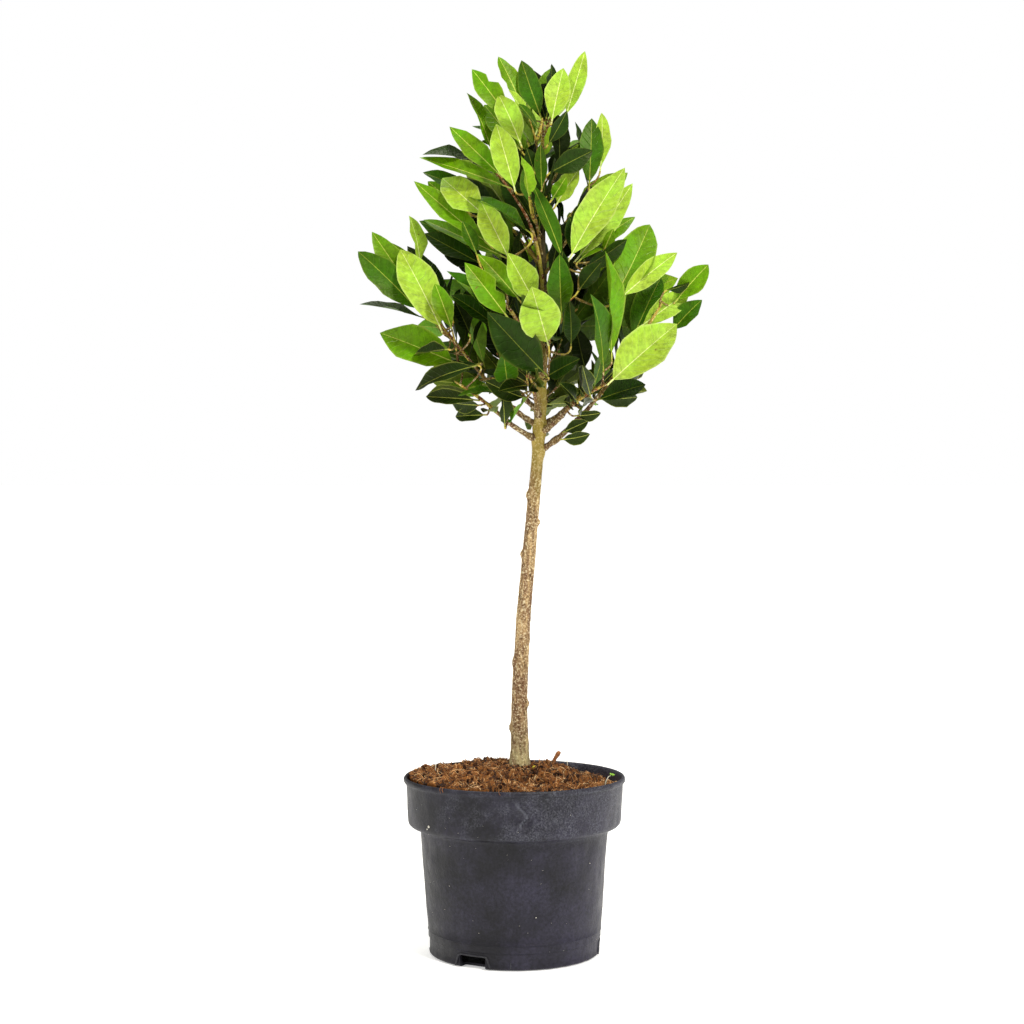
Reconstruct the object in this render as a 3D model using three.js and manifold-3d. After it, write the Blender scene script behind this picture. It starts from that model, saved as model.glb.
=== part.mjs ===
// A standard bay: a bay laurel on one bare trunk, with a loose crown of leafy shoots, in its nursery pot.
// Millimetres, +Z up. The origin is the middle of the pot's flat underside. The plant's front faces -Y.
import * as THREE from "three";
import { mergeVertices } from "three/addons/utils/BufferGeometryUtils.js";
import Module from "manifold-3d";

const wasm = await Module();
wasm.setup();

const GAP = 0.3; // air left between two pieces that bear on each other
const UP = new THREE.Vector3(0, 0, 1);
const { degToRad, lerp, smoothstep } = THREE.MathUtils;

// ---- Driving dimensions ----

const POT = {
  height: 152,
  wall: 1.6,
  rimRadius: 95,
  rimHeight: 5,
  collarTopRadius: 93,
  collarFootRadius: 91.8,
  collarFootZ: 115,
  shoulderZ: 109,
  bodyTopRadius: 81.6,
  bodyFootRadius: 73.6,
  footBandZ: 17,
  footRadius: 73.2,
  chamfer: 3,
  sides: 36,
};

// Arched slots in the foot let water out sideways, under a raised piece of the floor.
const DRAIN = {
  count: 3,
  firstHeading: 241,
  mouth: 33,
  crown: 24,
  height: 10,
  depth: 15,
  wall: 1.6,
  holeRadius: 3.5,
};

const COMPOST = {
  edgeZ: 148,
  leftRise: 3.5,
  backDip: 3.5,
  lump: 1.6,
  topRings: 3,
};

const TRUNK = {
  footX: 4.5,
  footY: 18,
  footZ: 158,
  lean: 19.5,
  leanFrom: 200,
  leanTo: 520,
  flare: 2.3,
  flareHeight: 16,
  footRadius: 7.2,
  crownZ: 446,
  crownRadius: 4.9,
  tipZ: 676,
  tipRadius: 1.6,
  sides: 10,
  step: 26,
};

const LIMB = {
  baseShare: 0.55, // of the trunk's radius at the fork
  tipShare: 0.68, // of the limb's own base radius
  sag: 0.12,
  sides: 6,
  steps: 4,
};

const SHOOT = {
  endRadius: 1.4,
  sideRadius: 1.25,
  steps: 3,
  leafFrom: 0.12,
  sides: [
    { at: 0.22, length: 0.8, angle: 58 },
    { at: 0.5, length: 0.62, angle: 52 },
  ],
  sideTurn: 165, // degrees round the main shoot from one side shoot to the next
  sideRise: 0.4,
  leafShare: 0.7, // leaves on a side shoot for each one on the main shoot
};

const LEAF = {
  turn: 137.5, // degrees from one leaf to the next round its shoot
  lowAngle: 72, // lean from the shoot at its foot
  highAngle: 22, // and at its end
  lift: 0.42,
  widthShare: 0.38,
  keelShare: 0.014,
  rootHalfWidth: 0.4,
  stalkHalfWidth: 0.8,
  stalkShare: 0.09,
  attempts: 40,
  shrink: 0.012, // of its length, for each new attempt at setting it
  stations: [
    { at: 0.34, width: 0.96 },
    { at: 0.68, width: 0.86 },
  ],
};

// Each limb leaves the trunk at its fork height and carries one mass of foliage. Its tip and the end of its
// shoot are given as [distance from the trunk, height]. Headings are in degrees: 0 is +X, 90 is +Y.
// The seed picks which way a mass grows.
const TIERS = [
  {
    tier: "top",
    leaf: 66,
    leaves: 8,
    limbs: [
      { side: "left", heading: 185, fork: 650, tip: [8, 666], end: [38, 708], seed: 600 },
      { side: "right", heading: 20, fork: 654, tip: [8, 670], end: [20, 708], seed: 411 },
      { side: "front", heading: 250, fork: 658, tip: [8, 674], end: [30, 706], seed: 122 },
      { side: "back", heading: 100, fork: 644, tip: [9, 662], end: [34, 704], seed: 183 },
    ],
  },
  {
    tier: "upper",
    leaf: 76,
    leaves: 9,
    limbs: [
      { side: "left", heading: 192, fork: 588, tip: [14, 604], end: [66, 646], seed: 344 },
      { side: "front", heading: 255, fork: 596, tip: [13, 611], end: [52, 656], seed: 495 },
      { side: "right", heading: 335, fork: 580, tip: [14, 596], end: [44, 640], seed: 76 },
      { side: "back_right", heading: 50, fork: 590, tip: [14, 606], end: [54, 648], seed: 617 },
      { side: "back_left", heading: 125, fork: 584, tip: [15, 601], end: [60, 648], seed: 368 },
    ],
  },
  {
    tier: "mid",
    leaf: 82,
    leaves: 11,
    limbs: [
      { side: "left", heading: 176, fork: 451, tip: [44, 487], end: [106, 562], seed: 459 },
      { side: "front_left", heading: 228, fork: 508, tip: [20, 527], end: [86, 574], seed: 20 },
      { side: "front", heading: 280, fork: 494, tip: [20, 513], end: [78, 562], seed: 651 },
      { side: "right", heading: 352, fork: 430, tip: [42, 468], end: [100, 552], seed: 382 },
      { side: "back_right", heading: 46, fork: 512, tip: [20, 531], end: [88, 576], seed: 503 },
      { side: "back_left", heading: 112, fork: 502, tip: [21, 521], end: [88, 570], seed: 534 },
    ],
  },
  {
    tier: "low",
    leaf: 57,
    leaves: 10,
    limbs: [
      { side: "left", heading: 200, fork: 440, tip: [34, 459], end: [80, 490], seed: 265 },
      { side: "front", heading: 256, fork: 458, tip: [17, 471], end: [60, 498], seed: 296 },
      { side: "right", heading: 318, fork: 446, tip: [26, 462], end: [66, 484], seed: 287 },
      { side: "back_right", heading: 20, fork: 452, tip: [22, 466], end: [74, 494], seed: 188 },
      { side: "back", heading: 82, fork: 440, tip: [21, 462], end: [70, 492], seed: 339 },
      { side: "back_left", heading: 142, fork: 464, tip: [22, 480], end: [74, 492], seed: 80 },
    ],
  },
];

// The leader's own foliage, straight above the trunk's tip.
const LEADER = { name: "leader", rise: 42, leaf: 66, leaves: 10, seed: 311 };

// ---- Solids ----

// A closed solid through rings of points that run counter-clockwise about the way the rings advance.
// The last ring may be a single point.
function loft(rings) {
  const sides = rings[0].length;
  const faces = [];
  const index = (ring, k) => sides * ring + (rings[ring].length === 1 ? 0 : k % sides);
  for (let ring = 0; ring < rings.length - 1; ring++)
    for (let k = 0; k < sides; k++) {
      const here = [index(ring, k), index(ring, k + 1)];
      const there = [index(ring + 1, k), index(ring + 1, k + 1)];
      faces.push(here[0], here[1], there[1]);
      if (there[0] !== there[1]) faces.push(here[0], there[1], there[0]);
    }
  for (let k = 1; k < sides - 1; k++) {
    faces.push(0, k + 1, k);
    const last = rings.length - 1;
    if (rings[last].length > 1) faces.push(index(last, 0), index(last, k), index(last, k + 1));
  }
  const geometry = new THREE.BufferGeometry().setFromPoints(rings.flat());
  geometry.setIndex(faces);
  return geometry;
}

function solidOf(geometry) {
  const bare = new THREE.BufferGeometry();
  bare.setAttribute("position", geometry.getAttribute("position"));
  bare.setIndex(geometry.getIndex());
  const merged = mergeVertices(bare, 1e-4);
  return new wasm.Manifold(
    new wasm.Mesh({
      numProp: 3,
      vertProperties: new Float32Array(merged.attributes.position.array),
      triVerts: new Uint32Array(merged.index.array),
    }),
  );
}

function geometryOf(solid) {
  const { vertProperties, triVerts } = solid.getMesh();
  const geometry = new THREE.BufferGeometry();
  geometry.setAttribute("position", new THREE.BufferAttribute(vertProperties, 3));
  geometry.setIndex(new THREE.BufferAttribute(triVerts, 1));
  geometry.computeVertexNormals();
  return geometry;
}

// A ring of points round a centre, square to a direction. Sideways is the ring's first direction.
function ring(centre, along, radius, sides) {
  const [side, front] = framesOf(along);
  return Array.from({ length: sides }, (_, k) => {
    const turn = (2 * Math.PI * k) / sides;
    return centre
      .clone()
      .addScaledVector(side, radius * Math.cos(turn))
      .addScaledVector(front, radius * Math.sin(turn));
  });
}

// Two unit directions square to a third, in a fixed way, so that neighbouring rings line up.
const FRAME_REFERENCE = new THREE.Vector3(0.31, -0.93, 0.2);
function framesOf(along) {
  const side = new THREE.Vector3().crossVectors(FRAME_REFERENCE, along).normalize();
  return [side, new THREE.Vector3().crossVectors(along, side)];
}

// ---- Pot ----

// The pot's profile from the middle of its floor up to its collar's top, or the same line set in by a wall.
function potProfile(inset) {
  return [
    [0, inset],
    [POT.footRadius - POT.chamfer - inset, inset],
    [POT.footRadius - inset, inset + POT.chamfer + 1],
    [POT.footRadius - inset, POT.footBandZ - 2],
    [POT.bodyFootRadius - inset, POT.footBandZ],
    [POT.bodyTopRadius - inset, POT.shoulderZ + inset],
    [POT.collarFootRadius - 2.5 - inset, POT.shoulderZ + 1.5 + inset],
    [POT.collarFootRadius - inset, POT.collarFootZ + inset],
    [POT.collarTopRadius - inset, POT.height - POT.rimHeight - 1],
  ];
}

function drainBlock(grow, depth) {
  const shape = new THREE.Shape();
  shape.moveTo(-DRAIN.mouth / 2 - grow, -1);
  shape.lineTo(DRAIN.mouth / 2 + grow, -1);
  shape.lineTo(DRAIN.crown / 2 + grow, DRAIN.height + grow);
  shape.lineTo(-DRAIN.crown / 2 - grow, DRAIN.height + grow);
  shape.closePath();
  const block = new THREE.ExtrudeGeometry(shape, { depth, bevelEnabled: false });
  block.rotateX(Math.PI / 2); // stands the arch up, running towards -Y
  block.translate(0, -POT.footRadius + depth, 0);
  return block;
}

function atDrains(makeGeometry) {
  const solids = [];
  for (let i = 0; i < DRAIN.count; i++) {
    const heading = DRAIN.firstHeading + (360 / DRAIN.count) * i;
    solids.push(solidOf(makeGeometry().rotateZ(degToRad(heading + 90))));
  }
  return wasm.Manifold.union(solids);
}

const drainSlots = atDrains(() => drainBlock(0, DRAIN.depth).translate(0, -4, 0));
const drainHousings = atDrains(() => drainBlock(DRAIN.wall, DRAIN.depth + DRAIN.wall).translate(0, -2, 0));
const drainRooms = atDrains(() =>
  drainBlock(DRAIN.wall + GAP, DRAIN.depth + DRAIN.wall + GAP).translate(0, -2, 0),
);
const drainHoles = atDrains(() => {
  const hole = new THREE.CylinderGeometry(DRAIN.holeRadius, DRAIN.holeRadius, 3 * DRAIN.wall, 12);
  hole.rotateX(Math.PI / 2);
  return hole.translate(0, DRAIN.depth / 2 - POT.footRadius, DRAIN.height);
});

function potSolid() {
  const outside = [
    ...potProfile(0),
    [POT.rimRadius - 0.6, POT.height - POT.rimHeight],
    [POT.rimRadius, POT.height - 2.5],
    [POT.rimRadius - 0.8, POT.height],
    [0, POT.height],
  ];
  const cavity = [
    ...potProfile(POT.wall),
    [POT.collarTopRadius - POT.wall, POT.height + 1],
    [0, POT.height + 1],
  ];
  const lathe = (profile) => {
    const points = profile.map(([r, z]) => new THREE.Vector2(r, z));
    return solidOf(new THREE.LatheGeometry(points, POT.sides).rotateX(Math.PI / 2));
  };
  return lathe(outside)
    .subtract(lathe(cavity).subtract(drainHousings))
    .subtract(drainSlots)
    .subtract(drainHoles);
}

// ---- Compost ----

const foot = new THREE.Vector3(TRUNK.footX, TRUNK.footY, TRUNK.footZ);

// The lumpy top of the compost: high round the trunk and on the left, low at the back on the right.
function compostZ(x, y, mound) {
  const lumps = Math.sin(x * 0.19 + 1) * Math.cos(y * 0.23) + 0.6 * Math.sin(x * 0.41 - y * 0.33);
  const edge = COMPOST.edgeZ - (COMPOST.leftRise * x) / 90 - (COMPOST.backDip * (x + y)) / 130;
  return lerp(edge + COMPOST.lump * lumps, foot.z - GAP, mound);
}

function compostSolid() {
  const level = (radius, z) =>
    Array.from({ length: POT.sides }, (_, k) => {
      const turn = (2 * Math.PI * k) / POT.sides;
      return new THREE.Vector3(radius * Math.cos(turn), radius * Math.sin(turn), z);
    });
  const walls = potProfile(POT.wall + GAP)
    .slice(1, -1)
    .map(([radius, z]) => level(radius, z));
  const edge = level(POT.collarTopRadius - POT.wall - 1, 0);
  const plate = level(TRUNK.footRadius + TRUNK.flare + 2, 0);
  const tops = [];
  for (let i = 0; i <= COMPOST.topRings; i++) {
    const share = i / COMPOST.topRings;
    tops.push(
      edge.map((point, k) => {
        const x = lerp(point.x, foot.x + plate[k].x, share);
        const y = lerp(point.y, foot.y + plate[k].y, share);
        return new THREE.Vector3(x, y, compostZ(x, y, smoothstep(share, 0.15, 1)));
      }),
    );
  }
  const middle = [new THREE.Vector3(foot.x, foot.y, foot.z - GAP)];
  return solidOf(loft([...walls, ...tops, middle])).subtract(drainRooms);
}

// ---- Trunk and limbs ----

function trunkAt(z) {
  const x = foot.x + TRUNK.lean * smoothstep(z, TRUNK.leanFrom, TRUNK.leanTo);
  const y = foot.y * (1 - smoothstep(z, foot.z, TRUNK.leanTo));
  return new THREE.Vector3(x, y, z);
}

function trunkRadius(z) {
  const flare = TRUNK.flare * Math.exp((foot.z - z) / TRUNK.flareHeight);
  if (z < TRUNK.crownZ) {
    const climb = (z - foot.z) / (TRUNK.crownZ - foot.z);
    return lerp(TRUNK.footRadius, TRUNK.crownRadius, climb) + flare;
  }
  return lerp(TRUNK.crownRadius, TRUNK.tipRadius, (z - TRUNK.crownZ) / (TRUNK.tipZ - TRUNK.crownZ));
}

function trunkSolid(grow) {
  const count = Math.round((TRUNK.tipZ - foot.z) / TRUNK.step);
  const rings = [];
  for (let i = 0; i <= count; i++) {
    const z = lerp(foot.z, TRUNK.tipZ, (i / count) ** 1.2);
    rings.push(ring(trunkAt(z), UP, trunkRadius(z) + grow, TRUNK.sides));
  }
  return solidOf(loft(rings));
}

// A point at a distance from the trunk and a height, on a heading.
function besideTrunk(heading, [distance, z]) {
  const turn = degToRad(heading);
  return trunkAt(z).add(new THREE.Vector3(Math.cos(turn), Math.sin(turn), 0).multiplyScalar(distance));
}

function limbOf(row) {
  const from = trunkAt(row.fork);
  const to = besideTrunk(row.heading, row.tip);
  const bend = from.clone().lerp(to, 0.5);
  bend.z -= LIMB.sag * from.distanceTo(to);
  const baseRadius = LIMB.baseShare * trunkRadius(row.fork);
  const tipRadius = LIMB.tipShare * baseRadius;
  return { line: new THREE.QuadraticBezierCurve3(from, bend, to), baseRadius, tipRadius };
}

function tube(line, fromRadius, toRadius, sides, steps) {
  const rings = [];
  for (let i = 0; i <= steps; i++) {
    const t = i / steps;
    rings.push(ring(line.getPoint(t), line.getTangent(t), lerp(fromRadius, toRadius, t), sides));
  }
  return rings;
}

// ---- Foliage rule ----

// A repeatable row of numbers from 0 to 1.
function numbers(seed) {
  let state = (seed * 7919 + 104729) % 4294967296;
  const next = () => {
    state = (state * 1664525 + 1013904223) % 4294967296;
    return state / 4294967296;
  };
  for (let i = 0; i < 4; i++) next();
  return next;
}

// A point on a shoot's middle line, which runs straight from ring to ring.
function onShoot(line, t) {
  const step = Math.min(SHOOT.steps - 1, Math.floor(t * SHOOT.steps));
  const from = line.getPoint(step / SHOOT.steps);
  return from.lerp(line.getPoint((step + 1) / SHOOT.steps), t * SHOOT.steps - step);
}

// The shoots of one mass: the main one runs on from its limb, and shorter ones branch from it.
function shootsOf(mass) {
  const { start, heading, end, radius, seed } = mass;
  const reach = start.distanceTo(end);
  const bend = start.clone().addScaledVector(heading, 0.5 * reach);
  const main = new THREE.QuadraticBezierCurve3(start, bend, end);
  const shoots = [{ line: main, radius, leaves: mass.leaves, seed }];
  const firstTurn = 360 * numbers(seed)();
  SHOOT.sides.forEach(({ at, length, angle }, i) => {
    const fork = onShoot(main, at);
    const out = leaning(main.getTangent(at), angle, firstTurn + SHOOT.sideTurn * i);
    const sideBend = fork.clone().addScaledVector(out, 0.5 * length * reach);
    const sideEnd = fork.clone().addScaledVector(out, 0.85 * length * reach);
    sideEnd.z += SHOOT.sideRise * length * reach;
    const line = new THREE.QuadraticBezierCurve3(fork, sideBend, sideEnd);
    const leaves = Math.round(SHOOT.leafShare * mass.leaves);
    shoots.push({ line, radius: SHOOT.sideRadius, leaves, seed: seed + i + 1 });
  });
  return shoots;
}

// A direction that leans from another by an angle, on a side of it.
function leaning(along, angle, turn) {
  const [side, front] = framesOf(along);
  const lean = degToRad(angle);
  return along
    .clone()
    .multiplyScalar(Math.cos(lean))
    .addScaledVector(side, Math.sin(lean) * Math.cos(degToRad(turn)))
    .addScaledVector(front, Math.sin(lean) * Math.sin(degToRad(turn)));
}

// One leaf of a shoot, in one of several ways of setting it.
function leafOn(shoot, mass, place, attempt) {
  const next = numbers(shoot.seed * 1000 + place * 50 + attempt);
  const share = place / (shoot.leaves - 1);
  const t = lerp(SHOOT.leafFrom, 1, share);
  const tangent = shoot.line.getTangent(t);
  const turn = LEAF.turn * place + 36 * shoot.seed + (attempt ? 360 * next() : 0);
  const angle = lerp(LEAF.lowAngle, LEAF.highAngle, share) + 20 * (next() - 0.5);
  const along = leaning(tangent, angle, turn).addScaledVector(UP, LEAF.lift).normalize();
  const upper = tangent.clone().addScaledVector(along, -tangent.dot(along)).normalize();
  upper.applyAxisAngle(along, degToRad(80 * (next() - 0.5)));
  const length = mass.leaf * (0.84 + 0.3 * next()) * (1 - LEAF.shrink * attempt);
  return {
    root: onShoot(shoot.line, t),
    along,
    upper,
    side: new THREE.Vector3().crossVectors(upper, along),
    length,
    halfWidth: 0.5 * LEAF.widthShare * length * (0.88 + 0.26 * next()),
    arch: 0.16 * next() - 0.02,
  };
}

// A point of a leaf's blade: u runs from root to tip, v from edge to edge, h is above the blade.
function bladePoint(leaf, u, v, h) {
  return leaf.root
    .clone()
    .addScaledVector(leaf.along, leaf.length * u)
    .addScaledVector(leaf.side, v)
    .addScaledVector(leaf.upper, h - leaf.arch * leaf.length * u * u);
}

function halfWidthAt(leaf, u) {
  if (u < LEAF.stalkShare) return LEAF.stalkHalfWidth;
  const [first, second] = LEAF.stations;
  const toFirst = lerp(0, first.width, (u - LEAF.stalkShare) / (first.at - LEAF.stalkShare));
  const toTip = lerp(second.width, 0, (u - second.at) / (1 - second.at));
  return leaf.halfWidth * Math.max(0, Math.min(1, toFirst, toTip));
}

// Where a point lies from a leaf: along its length as a share, across it, and above its blade.
function bladePlace(leaf, point) {
  const from = point.clone().sub(leaf.root);
  const u = from.dot(leaf.along) / leaf.length;
  const v = from.dot(leaf.side);
  const h = from.dot(leaf.upper) + leaf.arch * leaf.length * u * u;
  return { u, v, h };
}

// The blade is flat above and keeled by its midrib below.
function leafSolid(leaf) {
  const band = (u, width, keel) => [
    bladePoint(leaf, u, width, 0),
    bladePoint(leaf, u, -width, 0),
    bladePoint(leaf, u, 0, -keel),
  ];
  const rings = [
    band(0, LEAF.rootHalfWidth, LEAF.rootHalfWidth),
    band(LEAF.stalkShare, LEAF.stalkHalfWidth, LEAF.stalkHalfWidth),
  ];
  for (const { at, width } of LEAF.stations)
    rings.push(band(at, width * leaf.halfWidth, LEAF.keelShare * leaf.length));
  rings.push([bladePoint(leaf, 1, 0, 0)]);
  return solidOf(loft(rings));
}

// Points over a blade, from its root to its tip.
function bladePoints(leaf) {
  const points = [];
  for (let u = 0; u <= 1.001; u += 0.125)
    for (const share of [-1, 0, 1]) points.push(bladePoint(leaf, u, share * halfWidthAt(leaf, u), 0));
  return points;
}

// Two blades cross if a line drawn on one passes through the other.
const LINES = [-0.9, -0.45, 0, 0.45, 0.9];
const LINE_STEPS = 8;
function crosses(leaf, other) {
  for (const v of LINES) {
    let before = null;
    for (let i = 1; i <= LINE_STEPS; i++) {
      const u = i / LINE_STEPS - 0.04;
      const here = bladePlace(other, bladePoint(leaf, u, v * halfWidthAt(leaf, u), 0));
      if (before && before.h * here.h < 0) {
        const share = before.h / (before.h - here.h);
        const crossU = lerp(before.u, here.u, share);
        const crossV = lerp(before.v, here.v, share);
        if (crossU > 0.1 && crossU < 1 && Math.abs(crossV) < halfWidthAt(other, crossU)) return true;
      }
      before = here;
    }
  }
  return false;
}

// A leaf touches a limb if any bead of the limb reaches its blade.
function touchesLimb(leaf, beads) {
  return beads.some(({ point, radius }) => {
    const { u, v, h } = bladePlace(leaf, point);
    const reach = radius + 2 * GAP + 0.5;
    if (u < -0.1 || u > 1 + reach / leaf.length) return false;
    return Math.abs(h) < reach && Math.abs(v) < halfWidthAt(leaf, u) + reach;
  });
}

// A mass keeps to the points that lie nearer to its own stem than to any other mass's.
const SPACE_GAP = 2;
const nearest = new THREE.Vector3();
function fromStem(point, mass) {
  return mass.stem.closestPointToPoint(point, true, nearest).distanceTo(point);
}

function leavesSpace(points, mass, masses) {
  return points.some((point) => {
    const own = fromStem(point, mass) + SPACE_GAP;
    return masses.some((other) => other !== mass && fromStem(point, other) < own);
  });
}

// ---- Assembly of the crown ----

function grownLimb(row, { tier, leaf, leaves }) {
  const limb = limbOf(row);
  const heading = limb.line.getTangent(1);
  const start = besideTrunk(row.heading, row.tip).addScaledVector(heading, GAP);
  const end = besideTrunk(row.heading, row.end);
  const name = `${tier}_${row.side}`;
  return { ...limb, name, start, heading, end, leaf, leaves, radius: limb.tipRadius, seed: row.seed };
}

const limbs = TIERS.flatMap((tier) => tier.limbs.map((row) => grownLimb(row, tier)));
const top = trunkAt(TRUNK.tipZ + GAP);
const leader = {
  ...LEADER,
  start: top,
  heading: UP,
  end: top.clone().addScaledVector(UP, LEADER.rise),
  radius: TRUNK.tipRadius,
};

const masses = [...limbs, leader];
for (const mass of masses) mass.stem = new THREE.Line3(mass.start, mass.end);

// Beads strung along the trunk and the limbs, for telling whether a leaf is clear of them.
const BEAD = 1.5;
function beadsOn(line, radiusAt) {
  const count = Math.ceil(line.getLength() / BEAD);
  return line.getPoints(count).map((point, i) => ({ point, radius: radiusAt(i / count) }));
}

const beads = limbs.flatMap(({ line, baseRadius, tipRadius }) =>
  beadsOn(line, (t) => lerp(baseRadius, tipRadius, t)),
);
for (let z = foot.z; z < TRUNK.tipZ; z += BEAD) beads.push({ point: trunkAt(z), radius: trunkRadius(z) });

// A side shoot starts thin, inside the shoot that it branches from.
function twigSolid({ line, radius }, isSide) {
  const rings = tube(line, radius, isSide ? radius : SHOOT.endRadius, 3, SHOOT.steps);
  if (isSide) rings[0] = ring(line.getPoint(0), line.getTangent(0), radius / 2, 3);
  return solidOf(loft(rings));
}

function massSolid(mass) {
  const shoots = shootsOf(mass).filter((shoot, i) => {
    return i === 0 || !leavesSpace(shoot.line.getPoints(8), mass, masses);
  });
  const nearLimbs = beads.filter(({ point }) => fromStem(point, mass) < 130);
  const twigBeads = shoots.flatMap(({ line, radius }) => beadsOn(line, () => radius));
  const leaves = [];
  function isClear(leaf) {
    if (leavesSpace(bladePoints(leaf), mass, masses)) return false;
    const otherTwigs = twigBeads.filter(({ point }) => point.distanceTo(leaf.root) > 4);
    if (touchesLimb(leaf, nearLimbs) || touchesLimb(leaf, otherTwigs)) return false;
    return !leaves.some((other) => crosses(leaf, other) || crosses(other, leaf));
  }
  for (const shoot of shoots)
    for (let place = 0; place < shoot.leaves; place++) {
      for (let attempt = 0; attempt < LEAF.attempts; attempt++) {
        const leaf = leafOn(shoot, mass, place, attempt);
        if (isClear(leaf)) {
          leaves.push(leaf);
          break;
        }
      }
    }
  const twigs = shoots.map((shoot, i) => twigSolid(shoot, i > 0));
  return wasm.Manifold.union([...twigs, ...leaves.map(leafSolid)]);
}

// ---- The part ----

const finishes = {
  pot: new THREE.MeshStandardMaterial({ color: 0x34353a, roughness: 0.55, metalness: 0 }),
  compost: new THREE.MeshStandardMaterial({ color: 0x7a4a2a, roughness: 0.95, metalness: 0 }),
  bark: new THREE.MeshStandardMaterial({ color: 0xa08f62, roughness: 0.85, metalness: 0 }),
  leaf: new THREE.MeshStandardMaterial({ color: 0x6f9f2c, roughness: 0.5, metalness: 0 }),
};

const part = new THREE.Group();
function add(name, solid, material) {
  const mesh = new THREE.Mesh(geometryOf(solid), material);
  mesh.name = name;
  part.add(mesh);
}

add("pot", potSolid(), finishes.pot);
add("compost", compostSolid(), finishes.compost);
add("trunk", trunkSolid(0), finishes.bark);
const trunkRoom = trunkSolid(GAP);
for (const { name, line, baseRadius, tipRadius } of limbs) {
  const whole = solidOf(loft(tube(line, baseRadius, tipRadius, LIMB.sides, LIMB.steps)));
  add("bough_" + name, whole.subtract(trunkRoom), finishes.bark);
}
for (const mass of masses) add("foliage_" + mass.name, massSolid(mass), finishes.leaf);

export default part;
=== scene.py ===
"""A standard bay in its nursery pot, dressed for display over the fixed frame. Metres, +Z up, the front faces -Y."""

import bpy
import math
import random
import numpy as np
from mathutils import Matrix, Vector, noise


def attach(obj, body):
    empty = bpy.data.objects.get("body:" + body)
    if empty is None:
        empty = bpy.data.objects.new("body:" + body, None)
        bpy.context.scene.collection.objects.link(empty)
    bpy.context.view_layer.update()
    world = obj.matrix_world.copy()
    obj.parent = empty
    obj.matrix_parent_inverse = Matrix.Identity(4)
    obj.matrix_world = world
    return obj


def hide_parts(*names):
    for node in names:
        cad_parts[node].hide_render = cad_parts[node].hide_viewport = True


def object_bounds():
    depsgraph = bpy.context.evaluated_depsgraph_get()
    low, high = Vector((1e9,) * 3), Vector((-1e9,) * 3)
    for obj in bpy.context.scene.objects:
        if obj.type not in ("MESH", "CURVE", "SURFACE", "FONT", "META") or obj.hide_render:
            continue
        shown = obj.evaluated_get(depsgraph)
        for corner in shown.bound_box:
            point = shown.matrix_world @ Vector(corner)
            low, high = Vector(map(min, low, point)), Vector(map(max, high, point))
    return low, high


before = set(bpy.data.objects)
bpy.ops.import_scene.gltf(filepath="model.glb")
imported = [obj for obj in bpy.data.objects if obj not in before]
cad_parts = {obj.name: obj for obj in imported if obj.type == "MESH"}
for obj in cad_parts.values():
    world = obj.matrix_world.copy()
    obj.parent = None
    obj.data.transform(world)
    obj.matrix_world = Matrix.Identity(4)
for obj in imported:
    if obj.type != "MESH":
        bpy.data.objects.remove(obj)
cad_box = [[float(value) for value in corner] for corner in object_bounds()]
MM = 0.001


# ---- Studio: camera, lights and floor ----
# A plain photographer's set: one camera at the height of the crown's foot, three large soft lights, and a
# white light table, so that the plant stands alone on white with a faint shadow under its pot.


def linear(colour):
    """An sRGB hex colour as linear red, green, blue and alpha."""
    parts = [int(colour[i : i + 2], 16) / 255 for i in (1, 3, 5)]
    return [part / 12.92 if part <= 0.04045 else ((part + 0.055) / 1.055) ** 2.4 for part in parts] + [1.0]


def set_inputs(tree, node, **inputs):
    """Sets a node's inputs. Each is a value, or a node or (node, output) to link from. _0 names input 0."""
    for name, value in inputs.items():
        socket = node.inputs[int(name[1:]) if name[0] == "_" else name.replace("_", " ")]
        if isinstance(value, bpy.types.Node):
            tree.links.new(value.outputs[0], socket)
        elif isinstance(value, tuple) and isinstance(value[0], bpy.types.Node):
            tree.links.new(value[0].outputs[value[1]], socket)
        else:
            socket.default_value = value


def add_node(tree, kind, settings=None, **inputs):
    """Adds a shader node, named without its prefix, with its settings and links."""
    made = tree.nodes.new("ShaderNode" + kind)
    for name, value in (settings or {}).items():
        setattr(made, name, value)
    set_inputs(tree, made, **inputs)
    return made


def new_material(name):
    """A new material, its node tree and its surface shader."""
    made = bpy.data.materials.new(name)
    made.use_nodes = True
    return made, made.node_tree, made.node_tree.nodes["Principled BSDF"]


bpy.context.scene.view_settings.view_transform = "Standard"
bpy.ops.object.select_all(action="DESELECT")
LOOKS_DOWN = 1.46  # degrees
bpy.ops.object.camera_add(location=(-0.002, -1.8, 0.424), rotation=(math.radians(90 - LOOKS_DOWN), 0, 0))
camera = bpy.context.object
camera.data.lens = 73.9
bpy.context.scene.camera = camera

for name, towards, strength, softness, tint in (
    ("key_window", (0.75, -1.0, 1.3), 2.55, 12, "#FFFBF2"),
    ("left_window", (-1.2, -0.8, 0.9), 0.62, 30, "#FFFDF8"),
    ("roof_light", (-0.3, 0.7, 2.0), 1.2, 26, "#FFFEF6"),
):
    bpy.ops.object.light_add(type="SUN", location=[2 * part for part in towards])
    lamp = bpy.context.object
    lamp.name = name
    lamp.rotation_euler = Vector(towards).to_track_quat("Z", "Y").to_euler()
    lamp.data.angle = math.radians(softness)
    lamp.data.energy = strength
    lamp.data.color = linear(tint)[:3]

# The studio's air lights the plant softly, and shows as clean white behind it.
world = bpy.data.worlds.new("studio_air")
world.use_nodes = True
air = world.node_tree
soft = air.nodes["Background"]
set_inputs(air, soft, Color=linear("#FBFAF4"), Strength=0.42)
white = add_node(air, "Background", Color=linear("#FFFFFF"), Strength=1.0)
ray = add_node(air, "LightPath")
both = add_node(air, "MixShader", Fac=(ray, "Is Camera Ray"), _1=soft, _2=white)
set_inputs(air, air.nodes["World Output"], Surface=both)
bpy.context.scene.world = world

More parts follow.
